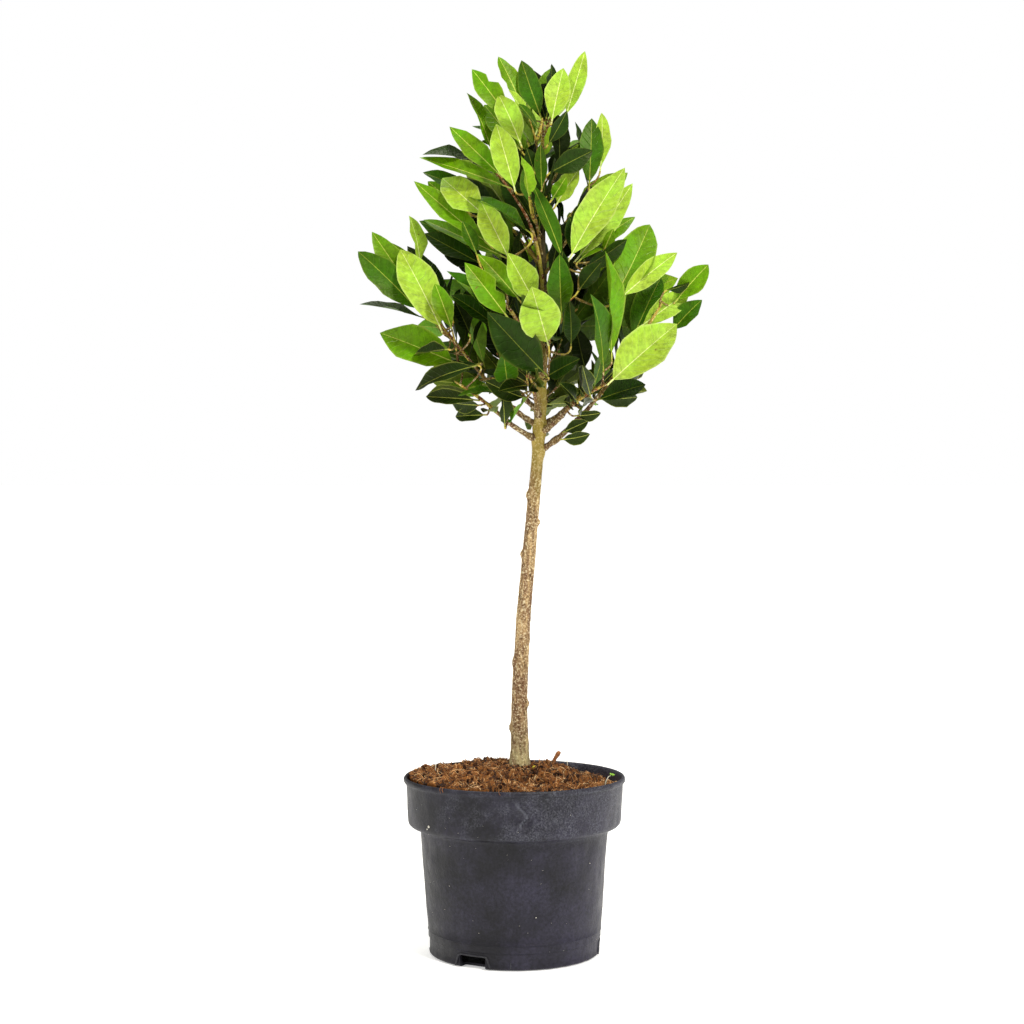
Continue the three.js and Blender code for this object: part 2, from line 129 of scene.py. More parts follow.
bpy.ops.object.select_all(action="DESELECT")
bpy.ops.mesh.primitive_plane_add(size=60, location=(0, 0, -0.0002))
floor = bpy.context.object
floor.name = "studio_floor"
paper, tree, shader = new_material("matt_white_light_table")
# White acrylic lit from below, which washes out all but the closest shadow.
set_inputs(
    tree, shader, Base_Color=linear("#FAFAFA"), Roughness=0.9, Emission_Color=linear("#FFFFFF"),
    Emission_Strength=0.36,
)
floor.data.materials.append(paper)


# ---- Pot ----
# The 19 cm nursery pot: black polypropylene, injection moulded, and thin enough to go a little out of round.
# A deep collar stiffens the rim, a small lip finishes it, and three arched slots are moulded through the foot.

POT_PROFILE = [  # outside from the foot up, over the lip and down the inner wall: radius and height in mm
    (66.0, 0.0), (69.6, 0.0), (72.2, 0.5), (73.3, 1.4), (73.5, 2.6), (73.0, 3.8), (73.0, 8.0), (73.1, 13.6),
    (73.3, 14.1), (74.1, 14.6), (74.2, 16.0), (74.3, 20.4), (74.9, 20.9), (74.9, 21.5), (74.6, 22.0), (75.2, 30.0),
    (75.9, 40.0), (76.6, 50.0), (77.3, 60.0), (78.0, 70.0), (78.7, 80.0), (79.4, 90.0), (80.1, 98.0), (80.8, 105.4),
    (81.3, 107.4), (82.6, 108.6), (86.4, 109.4), (89.4, 110.3), (90.9, 111.8), (91.6, 114.0), (91.8, 117.0),
] + [(91.9 + 0.036 * (z - 120), z) for z in range(120, 146)] + [
    (92.9, 146.2), (93.3, 146.9), (94.4, 147.2), (94.9, 147.8), (95.0, 149.2), (94.8, 150.8), (94.2, 151.7),
    (93.4, 152.0), (92.6, 151.6), (91.9, 150.2), (91.4, 145.0), (90.6, 128.0), (89.9, 116.6), (88.0, 112.4),
    (80.4, 111.0), (79.2, 108.0), (76.0, 60.0), (72.4, 19.0), (70.8, 8.0), (68.0, 2.0),
]
POT_HEIGHT = 0.152
POT_SIDES = 336
COLLAR_RADIUS = 93  # mm, at the crease
SLOT_HEADINGS = (241, 1, 121)  # degrees round from +X


def smoothstep(value, low, high):
    share = min(1.0, max(0.0, (value - low) / (high - low)))
    return share * share * (3 - 2 * share)


def wall_radius(z):
    """The outside of the pot's body at a height, in mm."""
    for (low_radius, low), (high_radius, high) in zip(POT_PROFILE, POT_PROFILE[1:]):
        if low <= z <= high:
            return low_radius + (high_radius - low_radius) * (z - low) / max(high - low, 1e-6)
    return POT_PROFILE[-1][0]


def start_piece(name):
    """Names the object that an operator has just added."""
    made = bpy.context.object
    made.name = name
    made.data.name = name
    return made


def select_only(piece):
    bpy.ops.object.select_all(action="DESELECT")
    piece.select_set(True)
    bpy.context.view_layer.objects.active = piece


def settle(piece):
    """Fixes a finished piece's place in its mesh, and puts it on the plant's one body."""
    select_only(piece)
    bpy.ops.object.transform_apply(location=True, rotation=True, scale=True)
    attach(piece, "root")


def mesh_piece(name, points, faces, materials, face_kinds=None):
    """A piece of many small closed shapes, joined in one mesh from arrays of points in mm."""
    data = bpy.data.meshes.new(name)
    data.from_pydata((np.asarray(points) * MM).tolist(), [], faces)
    for material in materials:
        data.materials.append(material)
    if face_kinds is not None:
        data.polygons.foreach_set("material_index", face_kinds)
    data.polygons.foreach_set("use_smooth", [True] * len(data.polygons))
    data.update()
    piece = bpy.data.objects.new(name, data)
    bpy.context.scene.collection.objects.link(piece)
    return piece


def unit(vector):
    return vector / np.linalg.norm(vector)


FRAME_REFERENCE = np.array([0.31, -0.93, 0.2])


def frames_of(along):
    """Two unit directions square to a third, in a fixed way, so that neighbouring rings line up."""
    side = unit(np.cross(FRAME_REFERENCE, along))
    return side, np.cross(along, side)


def tube(points, radii, sides, first):
    """A closed tapering tube along a line of points: its points and faces, numbered on from first."""
    points = np.asarray(points, float)
    steps = np.gradient(points, axis=0)
    rings = []
    for centre, along, radius in zip(points, steps, radii):
        side, front = frames_of(unit(along))
        for k in range(sides):
            turn = 2 * math.pi * k / sides
            rings.append(centre + radius * (math.cos(turn) * side + math.sin(turn) * front))
    faces = []
    for i in range(len(points) - 1):
        for k in range(sides):
            a, b = first + i * sides + k, first + i * sides + (k + 1) % sides
            faces.append((a, b, b + sides, a + sides))
    last = first + (len(points) - 1) * sides
    faces.append(tuple(first + k for k in reversed(range(sides))))
    faces.append(tuple(last + k for k in range(sides)))
    return rings, faces


def add_tube(points, faces, line, radii, sides):
    """Adds a tube along a line to a growing mesh, and says how many faces it has."""
    new_points, new_faces = tube(line, radii, sides, len(points))
    points += new_points
    faces += new_faces
    return len(new_faces)


bpy.ops.object.select_all(action="DESELECT")
bpy.ops.mesh.primitive_circle_add(vertices=POT_SIDES, radius=POT_PROFILE[0][0] * MM, fill_type="NGON")
pot = start_piece("nursery_pot")
bpy.ops.object.mode_set(mode="EDIT")
bpy.ops.mesh.select_mode(type="EDGE")
bpy.ops.mesh.select_all(action="SELECT")
bpy.ops.mesh.region_to_loop()
radius, height = POT_PROFILE[0]
for next_radius, next_height in POT_PROFILE[1:]:
    bpy.ops.mesh.extrude_edges_move(TRANSFORM_OT_translate={"value": (0, 0, (next_height - height) * MM)})
    grow = next_radius / radius
    bpy.ops.transform.resize(value=(grow, grow, 1), center_override=(0, 0, next_height * MM))
    radius, height = next_radius, next_height
bpy.ops.mesh.edge_face_add()
bpy.ops.mesh.select_all(action="SELECT")
bpy.ops.mesh.normals_make_consistent(inside=False)
bpy.ops.object.mode_set(mode="OBJECT")

for turn in SLOT_HEADINGS:
    bpy.ops.object.select_all(action="DESELECT")
    bpy.ops.mesh.primitive_cube_add(size=1, location=(0.0705, 0, 0.0048))
    cutter = bpy.context.object
    cutter.scale = (0.017, 0.0325, 0.0112)
    bpy.ops.object.transform_apply(location=True, rotation=False, scale=True)
    for vertex in cutter.data.vertices:
        vertex.select = vertex.co.z > 0.005
    bpy.ops.object.mode_set(mode="EDIT")
    bpy.ops.mesh.select_mode(type="VERT")
    bpy.ops.transform.resize(value=(1, 0.76, 1), center_override=(0.0705, 0, 0.0104))
    bpy.ops.mesh.select_mode(type="EDGE")
    bpy.ops.mesh.bevel(offset=0.0016, segments=3, affect="EDGES")
    bpy.ops.object.mode_set(mode="OBJECT")
    cutter.rotation_euler.z = math.radians(turn)
    bpy.ops.object.transform_apply(location=True, rotation=True, scale=True)
    bpy.context.view_layer.objects.active = pot
    slot_cut = pot.modifiers.new("drain_slot", "BOOLEAN")
    slot_cut.object = cutter
    slot_cut.solver = "EXACT"
    bpy.ops.object.modifier_apply(modifier=slot_cut.name)
    bpy.data.objects.remove(cutter, do_unlink=True)

# The thin wall is out of round, and one crease is knocked into the front of the collar.
CREASE = ((124, 126.8, 129.5, 133.4, 138, 141.6, 145), (5, 7, 10.3, 9.6, 4.5, 2, 1))  # its height, and how far right
crease_highlight = pot.data.attributes.new("crease_highlight", "FLOAT", "POINT")
for vertex in pot.data.vertices:
    place = vertex.co
    reach = math.hypot(place.x, place.y)
    if reach < 0.06:
        continue
    turn = math.atan2(place.y, place.x)
    rise = place.z / POT_HEIGHT
    push = 0.5 * rise * math.sin(2 * turn + 0.6) + 0.3 * math.sin(3 * turn + 9 * rise)
    push += 0.35 * noise.noise(Vector((9 * math.cos(turn), 9 * math.sin(turn), 60 * place.z))) - 0.3
    if 0.118 < place.z < 0.145 and reach > 0.0912:
        z = place.z / MM
        off = (turn + math.radians(90)) * COLLAR_RADIUS - np.interp(z, CREASE[0], CREASE[1])
        fade = smoothstep(z, 119, 127) * smoothstep(-z, -144.5, -140)
        rise = 1.6 * math.exp(-((off / 5) ** 2)) if off < 0 else 1.6 - 4.1 * min(1.0, off / 1.6)
        push += fade * (rise if off < 1.6 else -2.5 * math.exp(-(((off - 1.6) / 6) ** 2)))
        # The crease's ridge is marked for a painted highlight.
        crease_highlight.data[vertex.index].value = fade * math.exp(-((off / 1.1) ** 2))
    place.x *= 1 + push * MM / reach
    place.y *= 1 + push * MM / reach


def black_plastic(name, base, bloom_tint, dust_tint):
    """Moulded polypropylene that has stood outside: a dull sheen, a bloom, and dust in the grain of its skin, with
    painted light that makes its right side paler.
    """
    made, tree, shader = new_material(name)
    place = add_node(tree, "TexCoord"), "Object"
    axes = add_node(tree, "SeparateXYZ", Vector=place)
    # A bloom in patches a few centimetres wide, with painted light on it: the bloom grows stronger towards the right
    # side, where the key light falls.
    broad = add_node(tree, "TexNoise", Vector=place, Scale=24.0, Detail=5.0, Roughness=0.6)
    lit_side = add_node(tree, "MapRange", Value=(axes, 0), From_Min=-0.09, From_Max=0.09)
    side = add_node(tree, "Math", {"operation": "MULTIPLY_ADD"}, _0=lit_side, _1=0.3, _2=-0.17)
    lean = add_node(tree, "Math", {"operation": "ADD"}, _0=broad, _1=side)
    bloom = add_node(tree, "MapRange", Value=lean, From_Min=0.34, From_Max=0.68)
    body = add_node(tree, "Mix", {"data_type": "RGBA"}, Factor=bloom, _6=linear(base), _7=linear(bloom_tint))
    # The skin is mottled at 2 to 3 mm.
    speckle = add_node(tree, "TexNoise", Vector=place, Scale=380.0, Detail=4.0, Roughness=0.7)
    value = add_node(tree, "MapRange", Value=speckle, From_Min=0.35, From_Max=0.65, To_Min=0.6, To_Max=1.4)
    skin = add_node(tree, "HueSaturation", Color=(body, 2), Value=value)
    # Dust lies as flecks of about a millimetre in drifts, mostly on the collar; the drifts lean towards the right
    # side as painted light.
    fine = add_node(tree, "TexNoise", Vector=place, Scale=700.0, Detail=4.0, Roughness=0.8)
    fleck = add_node(tree, "MapRange", Value=fine, From_Min=0.44, From_Max=0.7)
    thin = add_node(tree, "TexNoise", Vector=place, Scale=60.0, Detail=6.0, Roughness=0.7)
    drifts_and_lit_side = add_node(tree, "Math", {"operation": "ADD"}, _0=thin, _1=side)
    dust_patch_and_lit_side = add_node(tree, "MapRange", Value=drifts_and_lit_side, From_Min=0.36, From_Max=0.7)
    collar = add_node(tree, "MapRange", Value=(axes, 2), From_Min=0.1, From_Max=0.114, To_Min=0.12)
    flecks_in_lit_drifts = add_node(tree, "Math", {"operation": "MULTIPLY"}, _0=fleck, _1=dust_patch_and_lit_side)
    dust = add_node(tree, "Math", {"operation": "MULTIPLY"}, _0=flecks_in_lit_drifts, _1=collar)
    dusty_and_lit_side = add_node(tree, "Mix", {"data_type": "RGBA"}, Factor=dust, _6=skin, _7=linear(dust_tint))
    # Along the crease's ridge the wall is painted pale: a painted highlight, which also stands for the whitening of
    # folded plastic.
    crease_highlight_share = add_node(tree, "Attribute", {"attribute_name": "crease_highlight"})
    painted_highlight = add_node(tree, "Math", {"operation": "MULTIPLY"}, _0=(crease_highlight_share, "Fac"), _1=0.7)
    marked = add_node(tree, "Mix", {"data_type": "RGBA"}, Factor=painted_highlight, _6=(dusty_and_lit_side, 2), _7=linear(dust_tint))
    dull = add_node(tree, "MapRange", Value=thin, From_Min=0.3, From_Max=0.7, To_Min=0.36, To_Max=0.56)
    grain = add_node(tree, "Bump", Strength=0.5, Distance=0.0005, Height=speckle)
    waves = add_node(tree, "Bump", Strength=0.6, Distance=0.002, Height=broad, Normal=grain)
    set_inputs(
        tree, shader, Base_Color=(marked, 2), Roughness=dull, Normal=waves, IOR=1.49, Specular_IOR_Level=0.26
    )
    return made


pot.data.materials.append(black_plastic("black_polypropylene_moulded", "#131219", "#292736", "#666872"))
select_only(pot)
bpy.ops.object.shade_smooth_by_angle(angle=math.radians(38))
settle(pot)
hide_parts("pot")

# A bead is moulded round each slot, and a gate mark stands beside the front one. Both are coloured paler than the
# pot's wall.
points, faces = [], []
for turn in SLOT_HEADINGS:
    outline = [(-16.9, 0.9), (-15.9, 3.8), (-14.3, 8.8), (-12.8, 10.6), (-10.6, 11.3), (0, 11.3)]
    outline += [(-across, z) for across, z in outline[-2::-1]]
    line = []
    for across, z in outline:
        around = math.radians(turn) + across / 73
        reach = wall_radius(z) + 0.2
        line.append((reach * math.cos(around), reach * math.sin(around), z))
    add_tube(points, faces, line, [0.85] * len(line), 8)
mark = math.radians(267.6)
line = [(wall_radius(z) * math.cos(mark), wall_radius(z) * math.sin(mark), z) for z in (1.9, 4, 7)]
add_tube(points, faces, line, [0.45, 0.6, 0.3], 6)
beads = mesh_piece(
    "slot_beads", points, faces, [black_plastic("black_polypropylene_paler", "#26262B", "#3C3C44", "#A2A4AA")]
)
settle(beads)

# Flecks of lime and perlite stick to the outside: heading, height and size in mm.
points, faces = [], []
dice = random.Random(12)
noise.seed_set(1)  # without a seed, vectors of noise start from the clock
FLECKS = [(219, 117.5, 2.3), (217.6, 115.2, 1.5), (283.5, 45, 0.9), (323, 85, 0.8), (247, 31, 0.6), (300, 131, 0.6)]
FLECKS += [(dice.uniform(185, 355), dice.uniform(8, 145), dice.uniform(0.25, 0.5)) for i in range(46)]
for heading, z, size in FLECKS:
    around = math.radians(heading)
    outward = np.array([math.cos(around), math.sin(around), 0.0])
    base = outward * (wall_radius(z) - 0.15) + np.array([0, 0, z])
    line = [base, base + outward * 0.35, base + outward * 0.6]
    new_points, new_faces = tube(line, [size * 0.5, size * 0.5, size * 0.2], 7, len(points))
    points += [point + 0.16 * size * np.array(noise.noise_vector(Vector(point) * 1.7)) for point in new_points]
    faces += new_faces


def mottled_finish(name, low, high, scale, detail, roughness, low_share=0.0, high_share=1.0):
    """A soft skin with no shine, clouded between two colours, its scale in patches to the metre."""
    made, tree, shader = new_material(name)
    place = add_node(tree, "TexCoord"), "Object"
    cloud = add_node(tree, "TexNoise", Vector=place, Scale=scale, Detail=detail)
    share = add_node(tree, "MapRange", Value=cloud, From_Min=low_share, From_Max=high_share)
    tone = add_node(tree, "Mix", {"data_type": "RGBA"}, Factor=share, _6=linear(low), _7=linear(high))
    set_inputs(tree, shader, Base_Color=(tone, 2), Roughness=roughness)
    return made


# Hard water and perlite dry to a chalky white crust with no shine.
lime = mottled_finish("lime_crust", "#8E8A80", "#E8E4D8", 900.0, 2.0, 0.95)
flecks = mesh_piece("lime_flecks", points, faces, [lime])
settle(flecks)


# ---- Compost ----
# Coarse coir compost, tipped in and firmed by hand: crumbs and clods in a low heap round the trunk, loose fibre
# all over it, a splinter of bark standing up, some white root threads and a weed seedling.

GAP = 0.3
FOOT = np.array([4.5, 18.0, 158.0])


def heap(x, y, at_x, at_y, width):
    return math.exp(-((x - at_x) ** 2 + (y - at_y) ** 2) / (2 * width * width))


def compost_height(x, y):
    """The compost's top in mm over a point, before its crumbs."""
    lumps = math.sin(x * 0.19 + 1) * math.cos(y * 0.23) + 0.6 * math.sin(x * 0.41 - y * 0.33)
    edge = 148 - 3.5 * x / 90 - 3.5 * (x + y) / 130 + 1.6 * lumps
    mound = smoothstep(1 - (math.hypot(x - FOOT[0], y - FOOT[1]) - 11) / 78, 0.15, 1)
    top = edge + (FOOT[2] - edge) * mound
    top += 4 * heap(x, y, -32, 40, 16) + 3 * heap(x, y, -58, 8, 15) + 3 * heap(x, y, 38, 34, 9)
    top += 4 * heap(x, y, 70, -6, 9) + 3 * heap(x, y, 32, -62, 10) + 2.5 * heap(x, y, -20, -70, 12)
    top -= 5 * heap(x, y, 16, -34, 8) + 3 * heap(x, y, 52, -22, 7) + 2.5 * heap(x, y, -38, -40, 7)
    near_wall = smoothstep(math.hypot(x, y), 66, 90)
    return min(top, 153.2) * near_wall + top * (1 - near_wall)


def relief_at(x, y):
    """How far clods and crumbs stand out over the compost's top, in mm, before they are settled."""
    place = Vector((x, y, 0)) * MM
    clods = 1 - abs(noise.noise(place * 88)) * 2.8
    crumbs = 1 - abs(noise.noise(place * 230 + Vector((3, 0, 0)))) * 2.8
    return 4.2 * clods + 2.8 * crumbs + 0.9 * noise.noise(place * 800)


def crumbled_height(x, y):
    """The compost's surface with its clods and crumbs, which die out at the trunk and the wall."""
    calm = smoothstep(math.hypot(x - FOOT[0], y - FOOT[1]), 8, 16)
    return compost_height(x, y) + (relief_at(x, y) - 4.3) * calm * (1 - 0.7 * smoothstep(math.hypot(x, y), 82, 90))


bpy.ops.object.select_all(action="DESELECT")
bpy.ops.mesh.primitive_grid_add(x_subdivisions=190, y_subdivisions=190, size=0.184)
compost = start_piece("coir_compost")
bpy.ops.object.mode_set(mode="EDIT")
bpy.ops.mesh.select_mode(type="VERT")
bpy.ops.mesh.select_all(action="DESELECT")
bpy.ops.object.mode_set(mode="OBJECT")
for vertex in compost.data.vertices:
    vertex.select = math.hypot(vertex.co.x, vertex.co.y) > 0.0902
bpy.ops.object.mode_set(mode="EDIT")
bpy.ops.mesh.delete(type="VERT")
bpy.ops.mesh.select_all(action="SELECT")
bpy.ops.mesh.region_to_loop()
for sink, narrow in ((-0.012, 0.985), (-0.0145, 0.98), (-0.002, 0.89), (-0.088, 0.9)):
    bpy.ops.mesh.extrude_edges_move(TRANSFORM_OT_translate={"value": (0, 0, sink)})
    bpy.ops.transform.resize(value=(narrow, narrow, 1), center_override=(0, 0, 0))
bpy.ops.mesh.edge_face_add()
bpy.ops.mesh.select_all(action="SELECT")
bpy.ops.mesh.normals_make_consistent(inside=False)
bpy.ops.object.mode_set(mode="OBJECT")
# The compost's height over its heap is kept for painted shade: its hollows are coloured darker and its tops paler.
crust = compost.data.attributes.new("crust", "FLOAT", "POINT")
for vertex in compost.data.vertices:
    place = vertex.co
    x, y = place.x / MM, place.y / MM
    if place.z > -0.001:
        place.z = crumbled_height(x, y) * MM
        crust.data[vertex.index].value = min(1.0, max(0.0, 0.36 + 0.115 * relief_at(x, y)))
    else:
        place.z += 0.141
select_only(compost)
bpy.ops.object.shade_smooth_by_angle(angle=math.radians(60))


def coir_finish(name, deep, middle, light, relief_shade_share):
    """Crumbs of coir dust and bark with no shine at all: rusty on top and, by a share of their height, near black in
    the hollows as painted shade.
    """
    made, tree, shader = new_material(name)
    place = add_node(tree, "TexCoord"), "Object"
    # Crumbs of 1 to 3 mm, with painted shade and light: darker the lower the compost lies, paler the higher.
    crumb = add_node(tree, "TexNoise", Vector=place, Scale=330.0, Detail=6.0, Roughness=0.8)
    high = add_node(tree, "Attribute", {"attribute_name": "crust"})
    relief_shade = add_node(tree, "Math", {"operation": "MULTIPLY_ADD"}, _0=(high, "Fac"), _1=relief_shade_share, _2=crumb)
    tone = add_node(tree, "ValToRGB", Fac=relief_shade)
    ramp = tone.color_ramp.elements
    ramp[0].position, ramp[0].color = 0.41 + 0.3 * relief_shade_share, linear(deep)
    ramp[1].position, ramp[1].color = 0.7 + 0.72 * relief_shade_share, linear(light)
    ramp.new(0.54 + 0.48 * relief_shade_share).color = linear(middle)
    rough = add_node(tree, "Bump", Strength=1.0, Distance=0.0016, Height=crumb)
    set_inputs(tree, shader, Base_Color=tone, Roughness=0.95, Specular_IOR_Level=0.2, Normal=rough)
    return made


compost.data.materials.append(coir_finish("coir_compost_crumbled", "#030100", "#321809", "#925E30", 0.9))
settle(compost)
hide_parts("compost")

# Loose crumbs and small clods lie on top.
dice = random.Random(23)
points, faces, kinds = [], [], []
for i in range(1700):
    reach, turn = 88 * math.sqrt(dice.random()), dice.uniform(0, 2 * math.pi)
    x, y = reach * math.cos(turn), reach * math.sin(turn)
    size = dice.choice((0.6, 0.8, 1.0, 1.2, 1.5, 2.0)) * dice.uniform(0.8, 1.3)
    if math.hypot(x - FOOT[0], y - FOOT[1]) < 8.5 + size or reach + size > 89.5:
        continue
    lean = np.array([dice.uniform(-1, 1), dice.uniform(-1, 1), dice.uniform(0.2, 1.0)])
    along = unit(lean) * size
    middle = np.array([x, y, crumbled_height(x, y) + 0.2 * size])
    line = [middle - 0.9 * along, middle - 0.45 * along, middle + 0.35 * along, middle + 0.85 * along]
    new_points, new_faces = tube(line, [0.35 * size, 0.85 * size, 0.8 * size, 0.3 * size], 6, len(points))
    points += [point + 0.45 * size * np.array(noise.noise_vector(Vector(point) * 0.9 / size)) for point in new_points]
    faces += new_faces
    kinds += [dice.choice((0, 1, 1))] * len(new_faces)
crumbs = mesh_piece(
    "coir_crumbs", points, faces,
    [
        coir_finish("coir_crumb_dark", "#140904", "#40220F", "#7C4E28", 0.0),
        coir_finish("coir_crumb_rust", "#3C2010", "#7C4E28", "#B67E48", 0.0),
    ],
    kinds,
)
settle(crumbs)

# Coir fibres, 3 to 13 mm long, lie all over the top.
dice = random.Random(41)
points, faces, kinds = [], [], []
for i in range(8800):
    reach, turn = 89 * math.sqrt(dice.random()), dice.uniform(0, 2 * math.pi)
    x, y = reach * math.cos(turn), reach * math.sin(turn)
    if math.hypot(x - FOOT[0], y - FOOT[1]) < 9:
        continue
    heading, slope = dice.uniform(0, 2 * math.pi), dice.uniform(-0.5, 0.9)
    length = dice.choice((3, 5, 7, 10, 13)) * dice.uniform(0.7, 1.2)
    bow = dice.uniform(-0.5, 0.5)
    line = []
    for step in (-1, -0.4, 0.3, 1):
        px = x + 0.5 * length * step * math.cos(heading) - bow * length * step * step * math.sin(heading)
        py = y + 0.5 * length * step * math.sin(heading) + bow * length * step * step * math.cos(heading)
        pull = min(1.0, 90.5 / max(1e-6, math.hypot(px, py)))
        px, py = px * pull, py * pull
        ground = crumbled_height(px, py) + 0.4
        line.append((px, py, ground + max(-0.6, 0.3 * length * slope * step) + 1.4 * abs(bow) * (1 - step * step)))
    thickness = dice.uniform(0.12, 0.34)
    count = add_tube(points, faces, line, [thickness * part for part in (0.6, 1, 0.9, 0.4)], 3)
    # Those on top get pale tints and those down between the clods dark ones, as painted shade.
    level = (relief_at(x, y) - 4.6) / 2.6 + dice.gauss(0, 0.55)
    kinds += [sum(level > limit for limit in (-0.35, 0.2, 0.95))] * count
# A few fibres hang over the front of the rim.
for heading, length in ((229.4, 5), (231, 3.5), (262, 2.5)):
    around = math.radians(heading)
    outward = np.array([math.cos(around), math.sin(around), 0.0])
    across = np.array([-math.sin(around), math.cos(around), 0.0])
    line = [outward * 89 + [0, 0, 151], outward * 93.6 + [0, 0, 152.7], outward * 95.9 + across + [0, 0, 151]]
    line.append(outward * 96.2 + 2.2 * across + [0, 0, 151.0 - length * 0.6])
    kinds += [1] * add_tube(points, faces, line, [0.3, 0.32, 0.26, 0.15], 4)
finishes = []
for name, colour in (("dark", "#2A1509"), ("rust", "#965E30"), ("straw", "#D69C5E"), ("pale", "#F2CC96")):
    # Coir fibre, retted and shredded: a waxy hair that catches the light along its length.
    fibre, tree, shader = new_material("coir_fibre_" + name)
    place = add_node(tree, "TexCoord"), "Object"
    streak = add_node(tree, "TexNoise", Vector=place, Scale=300.0, Detail=2.0)
    value = add_node(tree, "MapRange", Value=streak, From_Min=0.3, From_Max=0.7, To_Min=0.55, To_Max=1.4)
    shade = add_node(tree, "HueSaturation", Color=linear(colour), Value=value)
    set_inputs(tree, shader, Base_Color=shade, Roughness=0.7)
    finishes.append(fibre)
fibres = mesh_piece("coir_fibres", points, faces, finishes, kinds)
settle(fibres)

# A splinter of bark, a dark stalk, root threads, and a seedling with its two seed leaves.
points, faces, kinds = [], [], []
for line, radii, sides, kind in (
    ([(32, 45, 149), (34, 45, 156), (36, 45, 160), (38.5, 45, 164), (40, 45, 166)], (2.0, 1.9, 1.6, 2.2, 1.5), 7, 0),
    ([(-66, 6, 151), (-69, 6, 155), (-73, 6, 158), (-76, 6, 160.5)], (0.6, 0.6, 0.5, 0.4), 5, 0),
    ([(-68, 4, 150), (-68, 4, 156), (-67.4, 4, 162)], (0.35, 0.4, 0.3), 5, 1),
    ([(47, 62, 146), (47.3, 62, 152), (46.8, 62, 157)], (0.3, 0.4, 0.3), 5, 1),
    ([(76, -37, 147), (77, -37, 152), (79, -37, 156), (81.5, -37, 157.6)], (0.45, 0.45, 0.4, 0.35), 5, 1),
    ([(81.2, -37, 157.4), (82.6, -37.6, 158.2), (84.6, -38.2, 158.0)], (0.3, 1.1, 0.15), 6, 2),
    ([(81.2, -37, 157.4), (81.0, -38.2, 158.6), (80.4, -39.4, 159.6)], (0.3, 0.9, 0.15), 6, 2),
    ([(15.5, 6.5, 156.8), (16.6, 6.2, 158.3), (18.0, 6.0, 159.2)], (0.4, 1.0, 0.2), 6, 3),
):
    kinds += [kind] * add_tube(points, faces, line, radii, sides)
# Small soft scraps, each mottled at about 2 mm, with the dull look of wet plant matter.
finishes = [
    mottled_finish(name, low, high, scale, 3.0, 0.8) for name, low, high, scale in (
        ("bark_splinter_weathered", "#6A3A1C", "#BC7C48", 420.0),
        ("root_thread_white", "#C9C2A8", "#EDE8D6", 300.0),
        ("seedling_green", "#6FA82E", "#A9D84E", 300.0),
        ("fallen_bud_yellow", "#B79A20", "#E9D84A", 300.0),
    )
]
scraps = mesh_piece("compost_scraps", points, faces, finishes, kinds)
settle(scraps)


# ---- Trunk ----
# One stem of bay wood, trained bare: smooth young bark that has begun to crack into fine plates, with knobs where
# side shoots were rubbed off, a flared foot, and a lean to the right above its middle.

TRUNK_TIP = 676.0
CROWN_Z = 446.0
TRUNK_SIDES = 36


def trunk_at(z):
    x = FOOT[0] + 19.5 * smoothstep(z, 200, 520)
    y = FOOT[1] * (1 - smoothstep(z, FOOT[2], 520))
    return np.array([x, y, z])


def trunk_radius(z):
    if z < CROWN_Z:
        flare = 2.3 * math.exp((FOOT[2] - z) / 16)
        return 7.2 + (4.9 - 7.2) * (z - FOOT[2]) / (CROWN_Z - FOOT[2]) + flare
    return 4.9 + (1.6 - 4.9) * (z - CROWN_Z) / (TRUNK_TIP - CROWN_Z)


# Each limb's tier, side, heading, fork height, tip and shoot end as distance and height, leaf size and count, seed.
LIMB_ROWS = [
    ("top", "left", 185, 650, (8, 666), (38, 708), 66, 8, 600),
    ("top", "right", 20, 654, (8, 670), (20, 708), 66, 8, 411),
    ("top", "front", 250, 658, (8, 674), (30, 706), 66, 8, 122),
    ("top", "back", 100, 644, (9, 662), (34, 704), 66, 8, 183),
    ("upper", "left", 192, 588, (14, 604), (66, 646), 76, 9, 344),
    ("upper", "front", 255, 596, (13, 611), (52, 656), 76, 9, 495),
    ("upper", "right", 335, 580, (14, 596), (44, 640), 76, 9, 76),
    ("upper", "back_right", 50, 590, (14, 606), (54, 648), 76, 9, 617),
    ("upper", "back_left", 125, 584, (15, 601), (60, 648), 76, 9, 368),
    ("mid", "left", 176, 451, (44, 487), (106, 562), 82, 11, 459),
    ("mid", "front_left", 228, 508, (20, 527), (86, 574), 82, 11, 20),
    ("mid", "front", 280, 494, (20, 513), (78, 562), 82, 11, 651),
    ("mid", "right", 352, 430, (42, 468), (100, 552), 82, 11, 382),
    ("mid", "back_right", 46, 512, (20, 531), (88, 576), 82, 11, 503),
    ("mid", "back_left", 112, 502, (21, 521), (88, 570), 82, 11, 534),
    ("low", "left", 200, 440, (34, 459), (80, 490), 57, 10, 265),
    ("low", "front", 256, 458, (17, 471), (60, 498), 57, 10, 296),
    ("low", "right", 318, 446, (26, 462), (66, 484), 57, 10, 287),
    ("low", "back_right", 20, 452, (22, 466), (74, 494), 57, 10, 188),
    ("low", "back", 82, 440, (21, 462), (70, 492), 57, 10, 339),
    ("low", "back_left", 142, 464, (22, 480), (74, 492), 57, 10, 80),
]
# Knobs on the bare stem: height, heading, how far each stands out and how wide it is, in mm.
KNOBS = [
    (393, 196, 2.6, 3.6), (369, 352, 2.9, 2.2), (342, 178, 2.2, 2.8), (300, 272, 1.7, 2.6), (248, 190, 1.8, 4.2),
    (212, 342, 2.4, 3.0), (191, 180, 2.2, 3.8), (433, 288, 1.6, 4.0), (268, 20, 0.9, 4.5), (318, 60, 1.0, 3.5),
    (226, 110, 1.1, 4.0), (402, 120, 1.2, 3.5), (352, 240, 0.7, 3.0), (176, 330, 0.8, 5.0), (286, 300, 0.6, 2.6),
]
KNOBS += [(row[3], row[2], 1.9, 5.0) for row in LIMB_ROWS]

